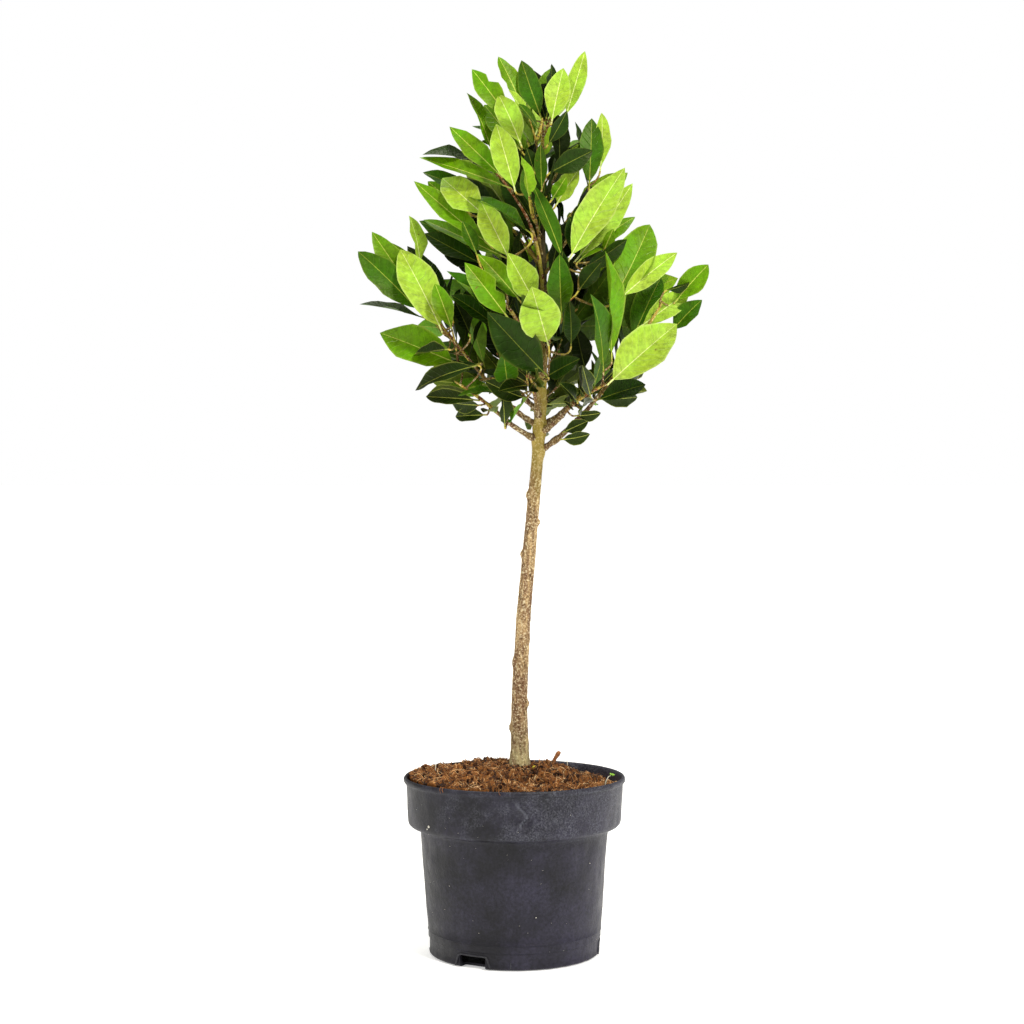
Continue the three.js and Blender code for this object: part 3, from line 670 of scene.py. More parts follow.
bpy.ops.object.select_all(action="DESELECT")
bpy.ops.mesh.primitive_circle_add(
    vertices=TRUNK_SIDES, radius=trunk_radius(FOOT[2]) * MM, fill_type="NGON", location=FOOT * MM
)
trunk = start_piece("trunk_bark")
bpy.ops.object.transform_apply(location=True, rotation=False, scale=False)
bpy.ops.object.mode_set(mode="EDIT")
bpy.ops.mesh.select_mode(type="EDGE")
bpy.ops.mesh.select_all(action="SELECT")
bpy.ops.mesh.region_to_loop()
STEPS = 150
heights = [FOOT[2] + (TRUNK_TIP - FOOT[2]) * i / STEPS for i in range(STEPS + 1)]
for low, high in zip(heights, heights[1:]):
    move = (trunk_at(high) - trunk_at(low)) * MM
    bpy.ops.mesh.extrude_edges_move(TRANSFORM_OT_translate={"value": tuple(move)})
    grow = trunk_radius(high) / trunk_radius(low)
    bpy.ops.transform.resize(value=(grow, grow, 1), center_override=tuple(trunk_at(high) * MM))
bpy.ops.mesh.edge_face_add()
bpy.ops.mesh.select_all(action="SELECT")
bpy.ops.mesh.normals_make_consistent(inside=False)
bpy.ops.object.mode_set(mode="OBJECT")
fine_rings = trunk.modifiers.new("finer_rings", "SUBSURF")
fine_rings.subdivision_type = "SIMPLE"
fine_rings.levels = 1
fine_rings.render_levels = 1
bpy.ops.object.modifier_apply(modifier=fine_rings.name)
for vertex in trunk.data.vertices:
    z = vertex.co.z / MM
    centre = trunk_at(z)
    out = Vector((vertex.co.x / MM - centre[0], vertex.co.y / MM - centre[1], 0))
    if out.length < 0.6 * trunk_radius(z):
        continue
    turn = math.atan2(out.y, out.x)
    around = out.normalized()
    base = trunk_radius(z)
    plates = noise.noise(Vector((around.x * 5, around.y * 5, z * 0.16)))
    cracks = abs(noise.noise(Vector((around.x * 9 + 7, around.y * 9, z * 0.3))))
    waves = noise.noise(Vector((around.x * 1.4, around.y * 1.4 + 5, z * 0.035)))
    relief = (0.3 * plates - 0.34 * max(0.0, 0.22 - cracks) / 0.22 + 0.5 * waves) * base / 7
    if z < FOOT[2] + 22:
        relief += 0.9 * (1 - (z - FOOT[2]) / 22) * math.sin(5 * turn + 0.8)
    for knob_z, heading, lift, width in KNOBS:
        if abs(z - knob_z) < 3 * width:
            off = math.atan2(math.sin(turn - math.radians(heading)), math.cos(turn - math.radians(heading)))
            away = ((off * base) ** 2 + (0.8 * (z - knob_z)) ** 2) / width**2
            relief += lift * min(1.0, base / 5) * (math.exp(-1.6 * away) - 0.35 * math.exp(-14 * away))
    vertex.co = Vector((centre[0], centre[1], z)) * MM + around * (base + relief) * MM
bpy.ops.object.shade_smooth_by_angle(angle=math.radians(70))


def bark_finish(name, light, dark, moss, moss_from, moss_to, foot_crust=0.0, inner_shade=0.0):
    """Living bay bark: green and smooth on young wood, tan, pitted and dull on old, with lichen at its foot, and
    painted shade inside the crown where asked.
    """
    made, tree, shader = new_material(name)
    place = add_node(tree, "TexCoord"), "Object"
    drawn = add_node(tree, "Mapping", Vector=place, Scale=(1.0, 1.0, 0.24))
    # Plates of 3 to 5 mm, drawn out up the stem.
    plates = add_node(tree, "TexNoise", Vector=drawn, Scale=230.0, Detail=7.0, Roughness=0.8)
    tone = add_node(tree, "MapRange", Value=plates, From_Min=0.38, From_Max=0.6)
    ground = add_node(tree, "Mix", {"data_type": "RGBA"}, Factor=tone, _6=linear(dark), _7=linear(light))
    # Red-brown streaks where the outer skin has rubbed through, a few millimetres wide and centimetres long.
    drift = add_node(tree, "TexNoise", Vector=drawn, Scale=55.0, Detail=3.0)
    long = add_node(tree, "Mapping", Vector=place, Scale=(1.0, 1.0, 0.14))
    streaks = add_node(tree, "TexNoise", Vector=long, Scale=150.0, Detail=5.0, Roughness=0.65)
    rubbed = add_node(tree, "MapRange", Value=streaks, From_Min=0.45, From_Max=0.58, To_Max=0.8)
    warm = add_node(tree, "Mix", {"data_type": "RGBA"}, Factor=rubbed, _6=(ground, 2), _7=linear("#6A4630"))
    # Pores and pits about 1 mm across, dark ones and pale ones.
    pits = add_node(tree, "TexNoise", Vector=place, Scale=560.0, Detail=4.0, Roughness=0.7)
    pit = add_node(tree, "MapRange", Value=pits, From_Min=0.54, From_Max=0.64, To_Max=0.75)
    pitted = add_node(tree, "Mix", {"data_type": "RGBA"}, Factor=pit, _6=(warm, 2), _7=linear("#301E10"))
    pale = add_node(tree, "MapRange", Value=pits, From_Min=0.47, From_Max=0.37, To_Max=0.8)
    flecked = add_node(tree, "Mix", {"data_type": "RGBA"}, Factor=pale, _6=(pitted, 2), _7=linear("#EADCB4"))
    up = add_node(tree, "SeparateXYZ", Vector=place)
    climb = add_node(tree, "MapRange", Value=(up, 2), From_Min=moss_from, From_Max=moss_to)
    where = add_node(tree, "MapRange", Value=drift, From_Min=0.36, From_Max=0.56)
    green = add_node(tree, "Math", {"operation": "MULTIPLY"}, _0=climb, _1=where)
    mossy = add_node(tree, "Mix", {"data_type": "RGBA"}, Factor=green, _6=(flecked, 2), _7=linear(moss))
    # Grey lichen and green algae crust the last few centimetres above the compost.
    low = add_node(tree, "MapRange", Value=(up, 2), From_Min=0.2, From_Max=0.165, To_Max=foot_crust)
    spread = add_node(tree, "Math", {"operation": "MULTIPLY"}, _0=low, _1=tone)
    crust = add_node(tree, "Mix", {"data_type": "RGBA"}, Factor=spread, _6=(mossy, 2), _7=linear("#B9B886"))
    # Inside the crown the stem gets painted shade: its colour turns dark brown.
    shaded = add_node(tree, "MapRange", Value=(up, 2), From_Min=0.555, From_Max=0.585, To_Max=inner_shade)
    dim = add_node(tree, "Mix", {"data_type": "RGBA"}, Factor=shaded, _6=(crust, 2), _7=linear("#2E2812"))
    lines = add_node(tree, "Bump", Strength=0.8, Distance=0.0007, Height=plates)
    dots = add_node(tree, "Bump", {"invert": True}, Strength=0.6, Distance=0.0005, Height=pits, Normal=lines)
    set_inputs(tree, shader, Base_Color=(dim, 2), Roughness=0.8, Specular_IOR_Level=0.3, Normal=dots)
    return made


trunk.data.materials.append(bark_finish("bay_bark_plated", "#C8A878", "#5E4226", "#B8A63E", 0.37, 0.5, 0.5, 0.9))
settle(trunk)
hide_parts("trunk")


# ---- Boughs ----
# The side limbs of the crown: bay wood of two or three years, brown at the fork, each one held by a swollen
# collar on the trunk, ringed with the knots of lost leaves, and bending upwards as it runs out to its shoot.


def bezier(line, t):
    start, bend, end = line
    return (1 - t) ** 2 * start + 2 * t * (1 - t) * bend + t * t * end


def tangent(line, t):
    low, high = max(0.0, t - 0.0001), min(1.0, t + 0.0001)
    return unit(bezier(line, high) - bezier(line, low))


def beside_trunk(heading, distance, z):
    turn = math.radians(heading)
    return trunk_at(z) + distance * np.array([math.cos(turn), math.sin(turn), 0.0])


UP = np.array([0.0, 0.0, 1.0])
masses = []
for tier, side, heading, fork, tip, end, leaf, leaves, seed in LIMB_ROWS:
    start, stop = trunk_at(fork), beside_trunk(heading, *tip)
    bend = 0.5 * (start + stop) - 0.12 * np.linalg.norm(stop - start) * UP
    base_radius = 0.55 * trunk_radius(fork)
    line = (start, bend, stop)
    masses.append({
        "name": f"{tier}_{side}", "tier": tier, "line": line, "base": base_radius, "radius": 0.68 * base_radius,
        "heading": tangent(line, 1), "leaf": leaf, "leaves": leaves, "seed": seed,
        "start": stop + GAP * tangent(line, 1), "end": beside_trunk(heading, *end),
    })
top = trunk_at(TRUNK_TIP + GAP)
masses.append({
    "name": "leader", "tier": "top", "line": None, "radius": 1.6, "heading": UP, "leaf": 66, "leaves": 10,
    "seed": 311, "start": top, "end": top + 42 * UP,
})

dice = random.Random(5)
points, faces = [], []
for mass in masses[:-1]:
    length = np.linalg.norm(mass["line"][2] - mass["line"][0])
    count = max(9, int(length / 2.2))
    knots = [dice.uniform(0.15, 0.95) for i in range(max(1, int(length / 12)))]
    line, radii = [], []
    for i in range(count + 1):
        t = i / count
        here = bezier(mass["line"], t)
        radius = mass["base"] * (1 - 0.32 * t) * (1 + 0.4 * max(0, 1 - 5 * t))
        if 0 < i < count:
            here = here + 0.55 * np.array(noise.noise_vector(Vector(here) * 0.09))
            radius *= 1 + 0.16 * noise.noise(Vector(here) * 0.5)
            radius += sum(0.75 * math.exp(-(((t - knot) * length / 1.7) ** 2)) for knot in knots)
        line.append(here)
        radii.append(radius)
    line[-1] = line[-1] + 1.2 * mass["heading"]
    add_tube(points, faces, line, radii, 12)
boughs = mesh_piece(
    "boughs_bark", points, faces, [bark_finish("bay_bark_young_wood", "#8E7444", "#4C3A20", "#A08A30", 0.46, 0.56)]
)
settle(boughs)
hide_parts(*["bough_" + mass["name"] for mass in masses[:-1]])


# ---- Twigs ----
# This year's shoots, one on from each bough and two off each of those, as the plant's own rule grows them: a
# leaf at each turn of 137.5 degrees, set again if it would leave its mass's space or touch wood or a leaf.


LEAF_TURN = 137.5  # degrees round the shoot from each leaf to the next
FIRST_LEAF = 0.12  # how far up its shoot the lowest leaf stands
NUMBER_SPAN = 2**32


def numbers(seed):
    """A repeatable row of numbers from 0 to 1."""
    state = (seed * 7919 + 104729) % NUMBER_SPAN
    count = 0
    while True:
        state = (state * 1664525 + 1013904223) % NUMBER_SPAN
        count += 1
        if count > 4:
            yield state / NUMBER_SPAN


def leaning(along, angle, turn):
    """A direction that leans away from another by an angle, on the side that a turn in degrees gives."""
    side, front = frames_of(along)
    lean, turn = math.radians(angle), math.radians(turn)
    return math.cos(lean) * along + math.sin(lean) * (math.cos(turn) * side + math.sin(turn) * front)


def on_shoot(line, t):
    """A point on a shoot's middle line, which runs straight between its three joints."""
    step = min(2, int(t * 3))
    low, high = bezier(line, step / 3), bezier(line, (step + 1) / 3)
    return low + (high - low) * (t * 3 - step)


def side_shoot(main, at, out, reach, rise, radius, leaves, seed, rank):
    """A shoot that forks from another, runs out and bends up."""
    fork = on_shoot(main, at)
    line = (fork, fork + 0.5 * reach * out, fork + 0.85 * reach * out + rise * reach * UP)
    return {"line": line, "radius": radius, "leaves": leaves, "seed": seed, "rank": rank, "at": at}


def shoots_of(mass):
    """A mass's stem and its two side shoots."""
    start, end = mass["start"], mass["end"]
    reach = np.linalg.norm(end - start)
    main = (start, start + 0.5 * reach * mass["heading"], end)
    shoots = [{"line": main, "radius": mass["radius"], "leaves": mass["leaves"], "seed": mass["seed"], "rank": 0}]
    first_turn = 360 * next(numbers(mass["seed"]))
    for i, (at, length, angle) in enumerate(((0.22, 0.8, 58), (0.5, 0.62, 52))):
        out = leaning(tangent(main, at), angle, first_turn + 165 * i)
        leaves = int(0.7 * mass["leaves"] + 0.5)
        shoots.append(side_shoot(main, at, out, length * reach, 0.4, 1.25, leaves, mass["seed"] + i + 1, 1))
    return shoots


STEM_STARTS = np.array([mass["start"] for mass in masses])
STEM_RUNS = np.array([mass["end"] - mass["start"] for mass in masses])


def leaves_space(points, index, gap=2.0):
    """Whether any point lies nearer to another mass's stem than to its own."""
    from_start = points[:, None, :] - STEM_STARTS[None, :, :]
    share = np.clip((from_start * STEM_RUNS).sum(2) / (STEM_RUNS * STEM_RUNS).sum(1), 0, 1)
    away = np.linalg.norm(from_start - share[:, :, None] * STEM_RUNS, axis=2)
    own = away[:, index] + gap
    away[:, index] = np.inf
    return bool((away.min(1) < own).any())


def beads_on(line, radius_at):
    """A stem as balls 1.5 mm apart, each a place and a radius, to try leaves against."""
    ticks = [bezier(line, i / 200) for i in range(201)]
    length = sum(np.linalg.norm(b - a) for a, b in zip(ticks, ticks[1:]))
    count = math.ceil(length / 1.5)
    return [(*bezier(line, i / count), radius_at(i / count)) for i in range(count + 1)]


limb_beads = []
for mass in masses[:-1]:
    limb_beads += beads_on(mass["line"], lambda t: mass["base"] + (mass["radius"] - mass["base"]) * t)
z = FOOT[2]
while z < TRUNK_TIP:
    limb_beads.append((*trunk_at(z), trunk_radius(z)))
    z += 1.5
limb_beads = np.array(limb_beads)


def leaf_joint(share):
    """How far up its shoot a leaf stands, from 0 for the lowest leaf to 1 for the last."""
    return FIRST_LEAF + (1 - FIRST_LEAF) * share


def leaf_on(shoot, tier, leaf_length, place, attempt):
    """One leaf of a shoot, in one of several ways of setting it."""
    draw = numbers(shoot["seed"] * 1000 + place * 50 + attempt)
    share = place / (shoot["leaves"] - 1)
    t = leaf_joint(share)
    along_shoot = tangent(shoot["line"], t)
    turn = LEAF_TURN * place + 36 * shoot["seed"] + (360 * next(draw) if attempt else 0)
    angle = 72 + (22 - 72) * share + 20 * (next(draw) - 0.5)
    along = unit(leaning(along_shoot, angle, turn) + 0.42 * UP)
    upper = unit(along_shoot - along * along_shoot.dot(along))
    roll = math.radians(80 * (next(draw) - 0.5))
    upper = upper * math.cos(roll) + np.cross(along, upper) * math.sin(roll)
    length = leaf_length * (0.84 + 0.3 * next(draw)) * (1 - 0.012 * attempt)
    half_width = 0.5 * 0.38 * length * (0.88 + 0.26 * next(draw))
    return {
        "root": on_shoot(shoot["line"], t), "along": along, "upper": upper, "side": np.cross(upper, along),
        "length": length, "half_width": half_width, "arch": 0.16 * next(draw) - 0.02, "share": share,
        "tier": tier, "rank": shoot["rank"], "shoot_along": along_shoot,
    }


STALK_SHARE = 0.09


def half_width_at(leaf, u):
    """Half a blade's width, or its stalk's, at shares of its length."""
    to_first = 0.96 * (u - STALK_SHARE) / (0.34 - STALK_SHARE)
    to_tip = 0.86 * (1 - u) / (1 - 0.68)
    width = leaf["half_width"] * np.maximum(0, np.minimum(1, np.minimum(to_first, to_tip)))
    return np.where(u < STALK_SHARE, 0.8, width)


def blade_points(leaf, u, v):
    """Points of a blade: u runs from root to tip, v from edge to edge."""
    u, v = np.broadcast_arrays(np.asarray(u, float), np.asarray(v, float))
    drop = leaf["arch"] * leaf["length"] * u * u
    return (
        leaf["root"] + (leaf["length"] * u)[..., None] * leaf["along"]
        + v[..., None] * leaf["side"] - drop[..., None] * leaf["upper"]
    )


def blade_places(leaf, points):
    """Where points lie from a leaf: along its length as a share, across it, and above its blade."""
    away = points - leaf["root"]
    u = away @ leaf["along"] / leaf["length"]
    return u, away @ leaf["side"], away @ leaf["upper"] + leaf["arch"] * leaf["length"] * u * u


LINE_U = np.arange(1, 9) / 8 - 0.04
LINE_V = np.array([-0.9, -0.45, 0, 0.45, 0.9])


def drawn_lines(leaf):
    """Five lines drawn on a blade from its root to its tip."""
    return blade_points(leaf, LINE_U[None, :], LINE_V[:, None] * half_width_at(leaf, LINE_U)[None, :])


def crosses(lines, other):
    """Whether lines drawn on one blade pass through another."""
    u, v, h = blade_places(other, lines)
    turns = h[:, :-1] * h[:, 1:] < 0
    if not turns.any():
        return False
    share = h[:, :-1][turns] / (h[:, :-1][turns] - h[:, 1:][turns])
    cross_u = u[:, :-1][turns] + share * (u[:, 1:] - u[:, :-1])[turns]
    cross_v = v[:, :-1][turns] + share * (v[:, 1:] - v[:, :-1])[turns]
    inside = (cross_u > 0.1) & (cross_u < 1) & (np.abs(cross_v) < half_width_at(other, cross_u))
    return bool(inside.any())


def touches(leaf, beads):
    """Whether a leaf comes too near any stem."""
    if not len(beads):
        return False
    u, v, h = blade_places(leaf, beads[:, :3])
    reach = beads[:, 3] + 2 * GAP + 0.5
    near = (u >= -0.1) & (u <= 1 + reach / leaf["length"]) & (np.abs(h) < reach)
    return bool((near & (np.abs(v) < half_width_at(leaf, u) + reach)).any())


EYE = np.array([-2.0, -1800.0, 424.0])  # the crown's front is judged from here
# How far the crown reaches to the left and right of the front view at each height.
REACH = np.array([
    (438, 13, 67), (450, -12, 67), (459, -52, 75), (474, -79, 109), (487, -91, 116), (498, -96, 128),
    (515, -108, 137), (529, -120, 149), (541, -120, 157), (559, -130, 161), (575, -129, 166), (592, -132, 168),
    (602, -132, 137), (617, -123, 121), (632, -88, 102), (644, -82, 106), (661, -87, 106), (678, -81, 78),
    (691, -77, 80), (711, -56, 80), (729, -38, 49), (746, -36, 56), (763, -15, 61),
]).T
# Clear air between sprays, as the front shows it: across, height and radius.
CLEAR_AIR = np.array([
    (-67, 590, 10), (53, 709, 11), (50, 652, 8), (44, 641, 5), (133, 563, 6), (-98, 542, 8), (-23, 472, 5),
    (17, 476, 5), (36, 458, 8), (144, 532, 9), (128, 511, 8), (90, 621, 6), (124, 610, 6), (-84, 500, 6),
])
outer_leaves, outer_beads, outer_stack = [], np.zeros((0, 4)), {}


def hides(points):
    """Which points stand in front of which outer leaves."""
    rays = points - EYE
    share = outer_stack["height"] / (rays @ outer_stack["upper"].T)
    away = EYE + rays[:, None, :] * share[:, :, None] - outer_stack["root"]
    u = (away * outer_stack["along"]).sum(2) / outer_stack["length"]
    v = (away * outer_stack["side"]).sum(2)
    return (share > 1.0005) & (u > 0.06) & (u < 1) & (np.abs(v) < half_width_at(outer_stack, u))


def spoils_front(lines):
    """Whether a leaf would leave the crown's outline, close clear air, or hide an outer leaf or front shoot."""
    points = lines.reshape(-1, 3)
    seen = EYE + (points - EYE) * (-EYE[1] / (points - EYE)[:, 1])[:, None]
    left, right = np.interp(seen[:, 2], REACH[0], REACH[1]), np.interp(seen[:, 2], REACH[0], REACH[2])
    if ((seen[:, 0] < left - 3) | (seen[:, 0] > right + 3) | (seen[:, 2] < 434) | (seen[:, 2] > 768)).any():
        return True
    if (np.hypot(*(seen[:, None, [0, 2]] - CLEAR_AIR[:, :2]).transpose(2, 0, 1)) < CLEAR_AIR[:, 2]).any():
        return True
    before_shoot = np.hypot(*(seen[:, None, [0, 2]] - front_line[:, [0, 2]]).transpose(2, 0, 1)) < 6
    before_shoot &= points[:, None, 1] < front_line[:, 1]
    return bool(before_shoot.any()) or bool(hides(points).sum(0).max() > 3)


CHECK_U = np.arange(9) * 0.125
RIPPLE_ROOM = np.array([1.4, 1.5, 0.0])  # left for wavy edges between a blade and the solids' box
CAD_LOW, CAD_HIGH = np.array(cad_box[0]) / MM + RIPPLE_ROOM, np.array(cad_box[1]) / MM - RIPPLE_ROOM


def set_leaf(leaf, kept, twig_beads, index, gap):
    """Keeps a leaf if it has room. A leaf of no one mass has no index, and needs only clear air."""
    edges = np.concatenate([blade_points(leaf, CHECK_U, s * half_width_at(leaf, CHECK_U)) for s in (-1, 0, 1)])
    if index is not None and leaves_space(edges, index, gap):
        return False
    if (edges < CAD_LOW).any() or (edges > CAD_HIGH).any():
        return False
    others = twig_beads[np.linalg.norm(twig_beads[:, :3] - leaf["root"], axis=1) > 4]
    if touches(leaf, limb_beads) or touches(leaf, others):
        return False
    leaf["lines"], leaf["middle"] = drawn_lines(leaf), blade_points(leaf, 0.5, 0.0)
    if leaf["tier"] != "outer" and (spoils_front(leaf["lines"]) or touches(leaf, outer_beads)):
        return False
    for other in (kept if leaf["tier"] == "outer" else kept + outer_leaves):
        if np.linalg.norm(other["middle"] - leaf["middle"]) > 0.5 * (other["length"] + leaf["length"]) + 12:
            continue
        if crosses(leaf["lines"], other) or crosses(other["lines"], leaf):
            return False
    kept.append(leaf)
    return True


def set_leaves(shoot, tier, leaf_length, attempts, kept, twig_beads, index, gap, first=0):
    """Sets a shoot's leaves in turn, each in the first way that has room, and returns those that stay."""
    found = []
    for place in range(first, shoot["leaves"]):
        for attempt in range(attempts):
            leaf = leaf_on(shoot, tier, leaf_length, place, attempt)
            if set_leaf(leaf, kept, twig_beads, index, gap):
                found.append(leaf)
                break
    return found


# The leaves that the crown holds out to its front: tint, root, tip, width in mm, and roll in degrees.
OUTER_LEAVES = [
    ("grown", (-36, 4, 650), (-78, 6, 671), 16, 20), ("grown", (-40, 4, 600), (-79, 6, 631), 17, 25),
    ("deep", (-14, -10, 577), (-52, 4, 596), 20, 10), ("deep", (60, -30, 498), (50, -45, 532), 18, 0),
    ("new", (43, -12, 712), (60, -20, 767), 15, 15), ("new", (31, -24, 704), (40, -17, 755), 21, 8),
    ("old", (27, -15, 712), (35, -12, 758), 14, 60), ("grown", (23, -20, 710), (4, -7, 764), 19, -10),
    ("young", (5, -10, 726), (-12, 0, 767), 16, 10), ("grown", (12, -13, 716), (-5, 0, 765), 12, 55),
    ("young", (-5, -13, 712), (-35, 0, 757), 20, 0), ("new", (6, -28, 685), (-12, -5, 735), 21, 0),
    ("young", (6, -25, 682), (-28, 0, 729), 18, -10), ("young", (-19, -10, 684), (-36, 0, 738), 14, 35),
    ("new", (1, -39, 646), (-15, -26, 706), 23, 0), ("young", (-10, -20, 661), (-56, 0, 708), 19, 5),
    ("old", (-15, -16, 664), (-35, 0, 695), 14, 20), ("young", (-3, -27, 651), (-80, 0, 685), 17, 20),
    ("old", (-35, 0, 678), (-77, 0, 689), 15, 45), ("new", (-24, -25, 627), (-65, 0, 665), 29, 0),
    ("young", (-19, -34, 601), (-86, 0, 659), 19, 10), ("young", (-5, -45, 590), (-81, 0, 630), 16, 15),
    ("new", (-4, -50, 589), (-29, -41, 640), 22, -10), ("grown", (14, -45, 609), (-43, 0, 659), 15, 55),
    ("grown", (41, -56, 586), (18, -62, 651), 14, 15), ("new", (44, -56, 586), (89, 0, 673), 30, 0),
    ("new", (50, -34, 588), (107, 0, 659), 20, 15), ("young", (52, -42, 587), (101, 0, 639), 18, -15),
    ("grown", (63, -20, 652), (67, -5, 716), 21, 0), ("new", (73, -2, 668), (78, 0, 719), 14, 20),
    ("old", (29, -32, 663), (66, -29, 683), 18, 20), ("old", (28, -27, 687), (45, -30, 715), 10, 45),
    ("grown", (23, -37, 648), (21, -46, 686), 11, 0), ("new", (35, -23, 637), (53, -27, 668), 18, 0),
    ("young", (31, -33, 640), (42, -45, 657), 13, 10), ("old", (63, -6, 654), (53, -6, 711), 12, 60),
    ("old", (17, -32, 664), (10, -44, 681), 13, 0), ("new", (-60, -36, 529), (-95, 0, 605), 31, 0),
    ("grown", (-79, -13, 547), (-132, 0, 604), 26, 0), ("young", (-87, 0, 568), (-123, 0, 618), 21, 0),
    ("new", (-80, 0, 588), (-85, 0, 632), 13, 40), ("old", (-52, -10, 542), (-90, 16, 610), 19, 40),
    ("old", (-75, -7, 543), (-130, 0, 562), 14, 65), ("young", (-47, -17, 504), (-117, 0, 533), 34, 10),
    ("young", (-52, -33, 531), (-66, -34, 571), 17, 0), ("edged", (-55, -32, 515), (-88, 0, 514), 13, 35),
    ("edged", (-30, -34, 502), (-90, 0, 489), 18, 20), ("old", (-28, -31, 504), (-77, 0, 495), 13, 30),
    ("edged", (-30, -18, 473), (-77, 0, 478), 14, 10), ("edged", (-24, -15, 461), (-52, 0, 460), 13, 0),
    ("grown", (-10, -34, 481), (-48, -27, 480), 12, 50), ("grown", (-5, -42, 481), (-9, -79, 509), 20, 0),
    ("edged", (-8, -26, 451), (-10, -48, 477), 13, 20), ("old", (28, -50, 491), (-23, -86, 542), 31, -10),
    ("new", (28, -74, 516), (15, -130, 555), 36, 0), ("new", (18, -63, 550), (-5, -75, 593), 26, 0),
    ("young", (5, -56, 554), (-29, -57, 595), 19, 15), ("young", (-5, -57, 539), (-40, -58, 586), 22, -5),
    ("grown", (-15, -44, 539), (-56, -37, 582), 17, 60), ("old", (-27, -17, 588), (-77, 0, 616), 19, 20),
    ("deep", (-21, -15, 589), (-62, 0, 604), 23, 0), ("grown", (-31, -35, 593), (-43, -28, 623), 12, 25),
    ("old", (-11, -39, 531), (-50, -48, 562), 17, 30), ("deep", (-37, -29, 528), (-50, -41, 556), 15, 20),
    ("new", (77, -39, 485), (138, 0, 541), 37, 0), ("new", (106, -6, 535), (150, 4, 569), 19, 15),
    ("young", (137, 0, 557), (167, 0, 595), 21, 0), ("grown", (134, 0, 532), (159, 0, 561), 21, -15),
    ("old", (129, -2, 567), (150, 0, 572), 10, 65), ("grown", (99, -10, 522), (125, 8, 581), 24, -10),
    ("young", (82, -41, 555), (119, 0, 622), 33, 0), ("new", (88, -42, 557), (138, 0, 603), 19, 10),
    ("young", (81, -50, 504), (77, -73, 594), 20, 62), ("grown", (74, -45, 496), (69, -93, 554), 18, 45),
    ("grown", (39, -59, 539), (35, -78, 589), 21, 0), ("old", (53, -46, 563), (71, -55, 587), 18, 0),
    ("old", (57, -45, 582), (96, -32, 606), 13, 65), ("old", (25, -50, 491), (52, -82, 506), 17, 10),
    ("old", (69, -30, 473), (113, 0, 489), 19, 0), ("edged", (71, -26, 474), (108, 0, 476), 9, 50),
    ("edged", (39, -19, 440), (64, -22, 442), 10, 45), ("edged", (51, -21, 460), (73, -25, 461), 8, 40),
    ("edged", (41, -16, 446), (62, -23, 456), 12, 20), ("old", (47, -50, 517), (47, -81, 550), 14, 15),
    ("edged", (53, -34, 471), (40, -63, 486), 12, 20), ("edged", (64, -34, 475), (56, -69, 498), 12, 20),
    ("young", (75, -19, 598), (83, -22, 617), 14, 20), ("old", (60, -28, 589), (48, -36, 628), 20, 10),
]


def outer_leaf(tint, root, tip, width, roll, shift, share):
    """One of those leaves, moved back by a shift and cut to a share of its length where it needs room."""
    root, tip = np.array(root, float) + [0, shift, 0], np.array(tip, float) + [0, shift, 0]
    tip = root + share * (tip - root)
    along, length = unit(tip - root), np.linalg.norm(tip - root)
    facing = np.array([0.0, -1.0, 0.25])
    upper, roll = unit(facing - along * along.dot(facing)), math.radians(roll)
    upper = upper * math.cos(roll) + np.cross(along, upper) * math.sin(roll)
    half_width = min(0.47 * width / max(0.6, math.cos(roll)), 0.23 * length)
    return {
        "root": root, "along": along, "upper": upper, "side": np.cross(upper, along), "length": length,
        "half_width": half_width, "arch": 0.04 + 0.05 * math.sin(7 * length), "share": 0.7, "tier": "outer",
        "rank": 0, "shoot_along": along, "tint": tint,
    }


# Two lengths of one older shoot climb in front of the stem and bend away to the left, the upper one brown.
FRONT_SHOOTS = [
    {"line": tuple(np.array(line, float)), "radius": radius, "leaves": leaves, "rank": 4, "skin": skin}
    for line, radius, leaves, skin in (
        (((24, -2, 551), (25, -21, 590), (13, -20, 622)), 1.9, 5, 1),
        (((13, -20, 622), (4, -21, 642), (-17, -14, 668)), 1.25, 4, 2),
    )
]
front_line = np.array([bezier(shoot["line"], t)[:3] for shoot in FRONT_SHOOTS for t in np.linspace(0.15, 1, 30)])
nearer = -EYE[1] / (front_line[:, 1:2] - EYE[1])
front_line = EYE + (front_line - EYE) * nearer + front_line * [0, 1, 0]
mass_shoots = []
for index, mass in enumerate(masses):
    shoots = []
    for shoot in shoots_of(mass):
        line = np.array([bezier(shoot["line"], k / 8) for k in range(9)])
        if not shoots or not leaves_space(line, index):
            shoots.append(shoot)
    mass_shoots.append(shoots)
main_beads = np.array([
    bead for shoot in [shoots[0] for shoots in mass_shoots] + FRONT_SHOOTS
    for bead in beads_on(shoot["line"], lambda t: 0.9 * shoot["radius"])
])
for row in OUTER_LEAVES:
    for share in (1.0, 0.95, 0.9):
        if any(
            set_leaf(outer_leaf(*row, shift, share), outer_leaves, main_beads, None, 0.0)
            for shift in (0, -6, 6, -12, 12, -18, 18, 24)
        ):
            break
for key in ("root", "along", "side", "upper", "length", "half_width", "middle"):
    outer_stack[key] = np.array([leaf[key] for leaf in outer_leaves])
outer_stack["height"] = ((outer_stack["middle"] - EYE) * outer_stack["upper"]).sum(1)
for shoots in mass_shoots:
    shoots[1:] = [
        shoot for shoot in shoots[1:]
        if not any(touches(leaf, np.array(beads_on(shoot["line"], lambda t: 1.2))) for leaf in outer_leaves)
    ]

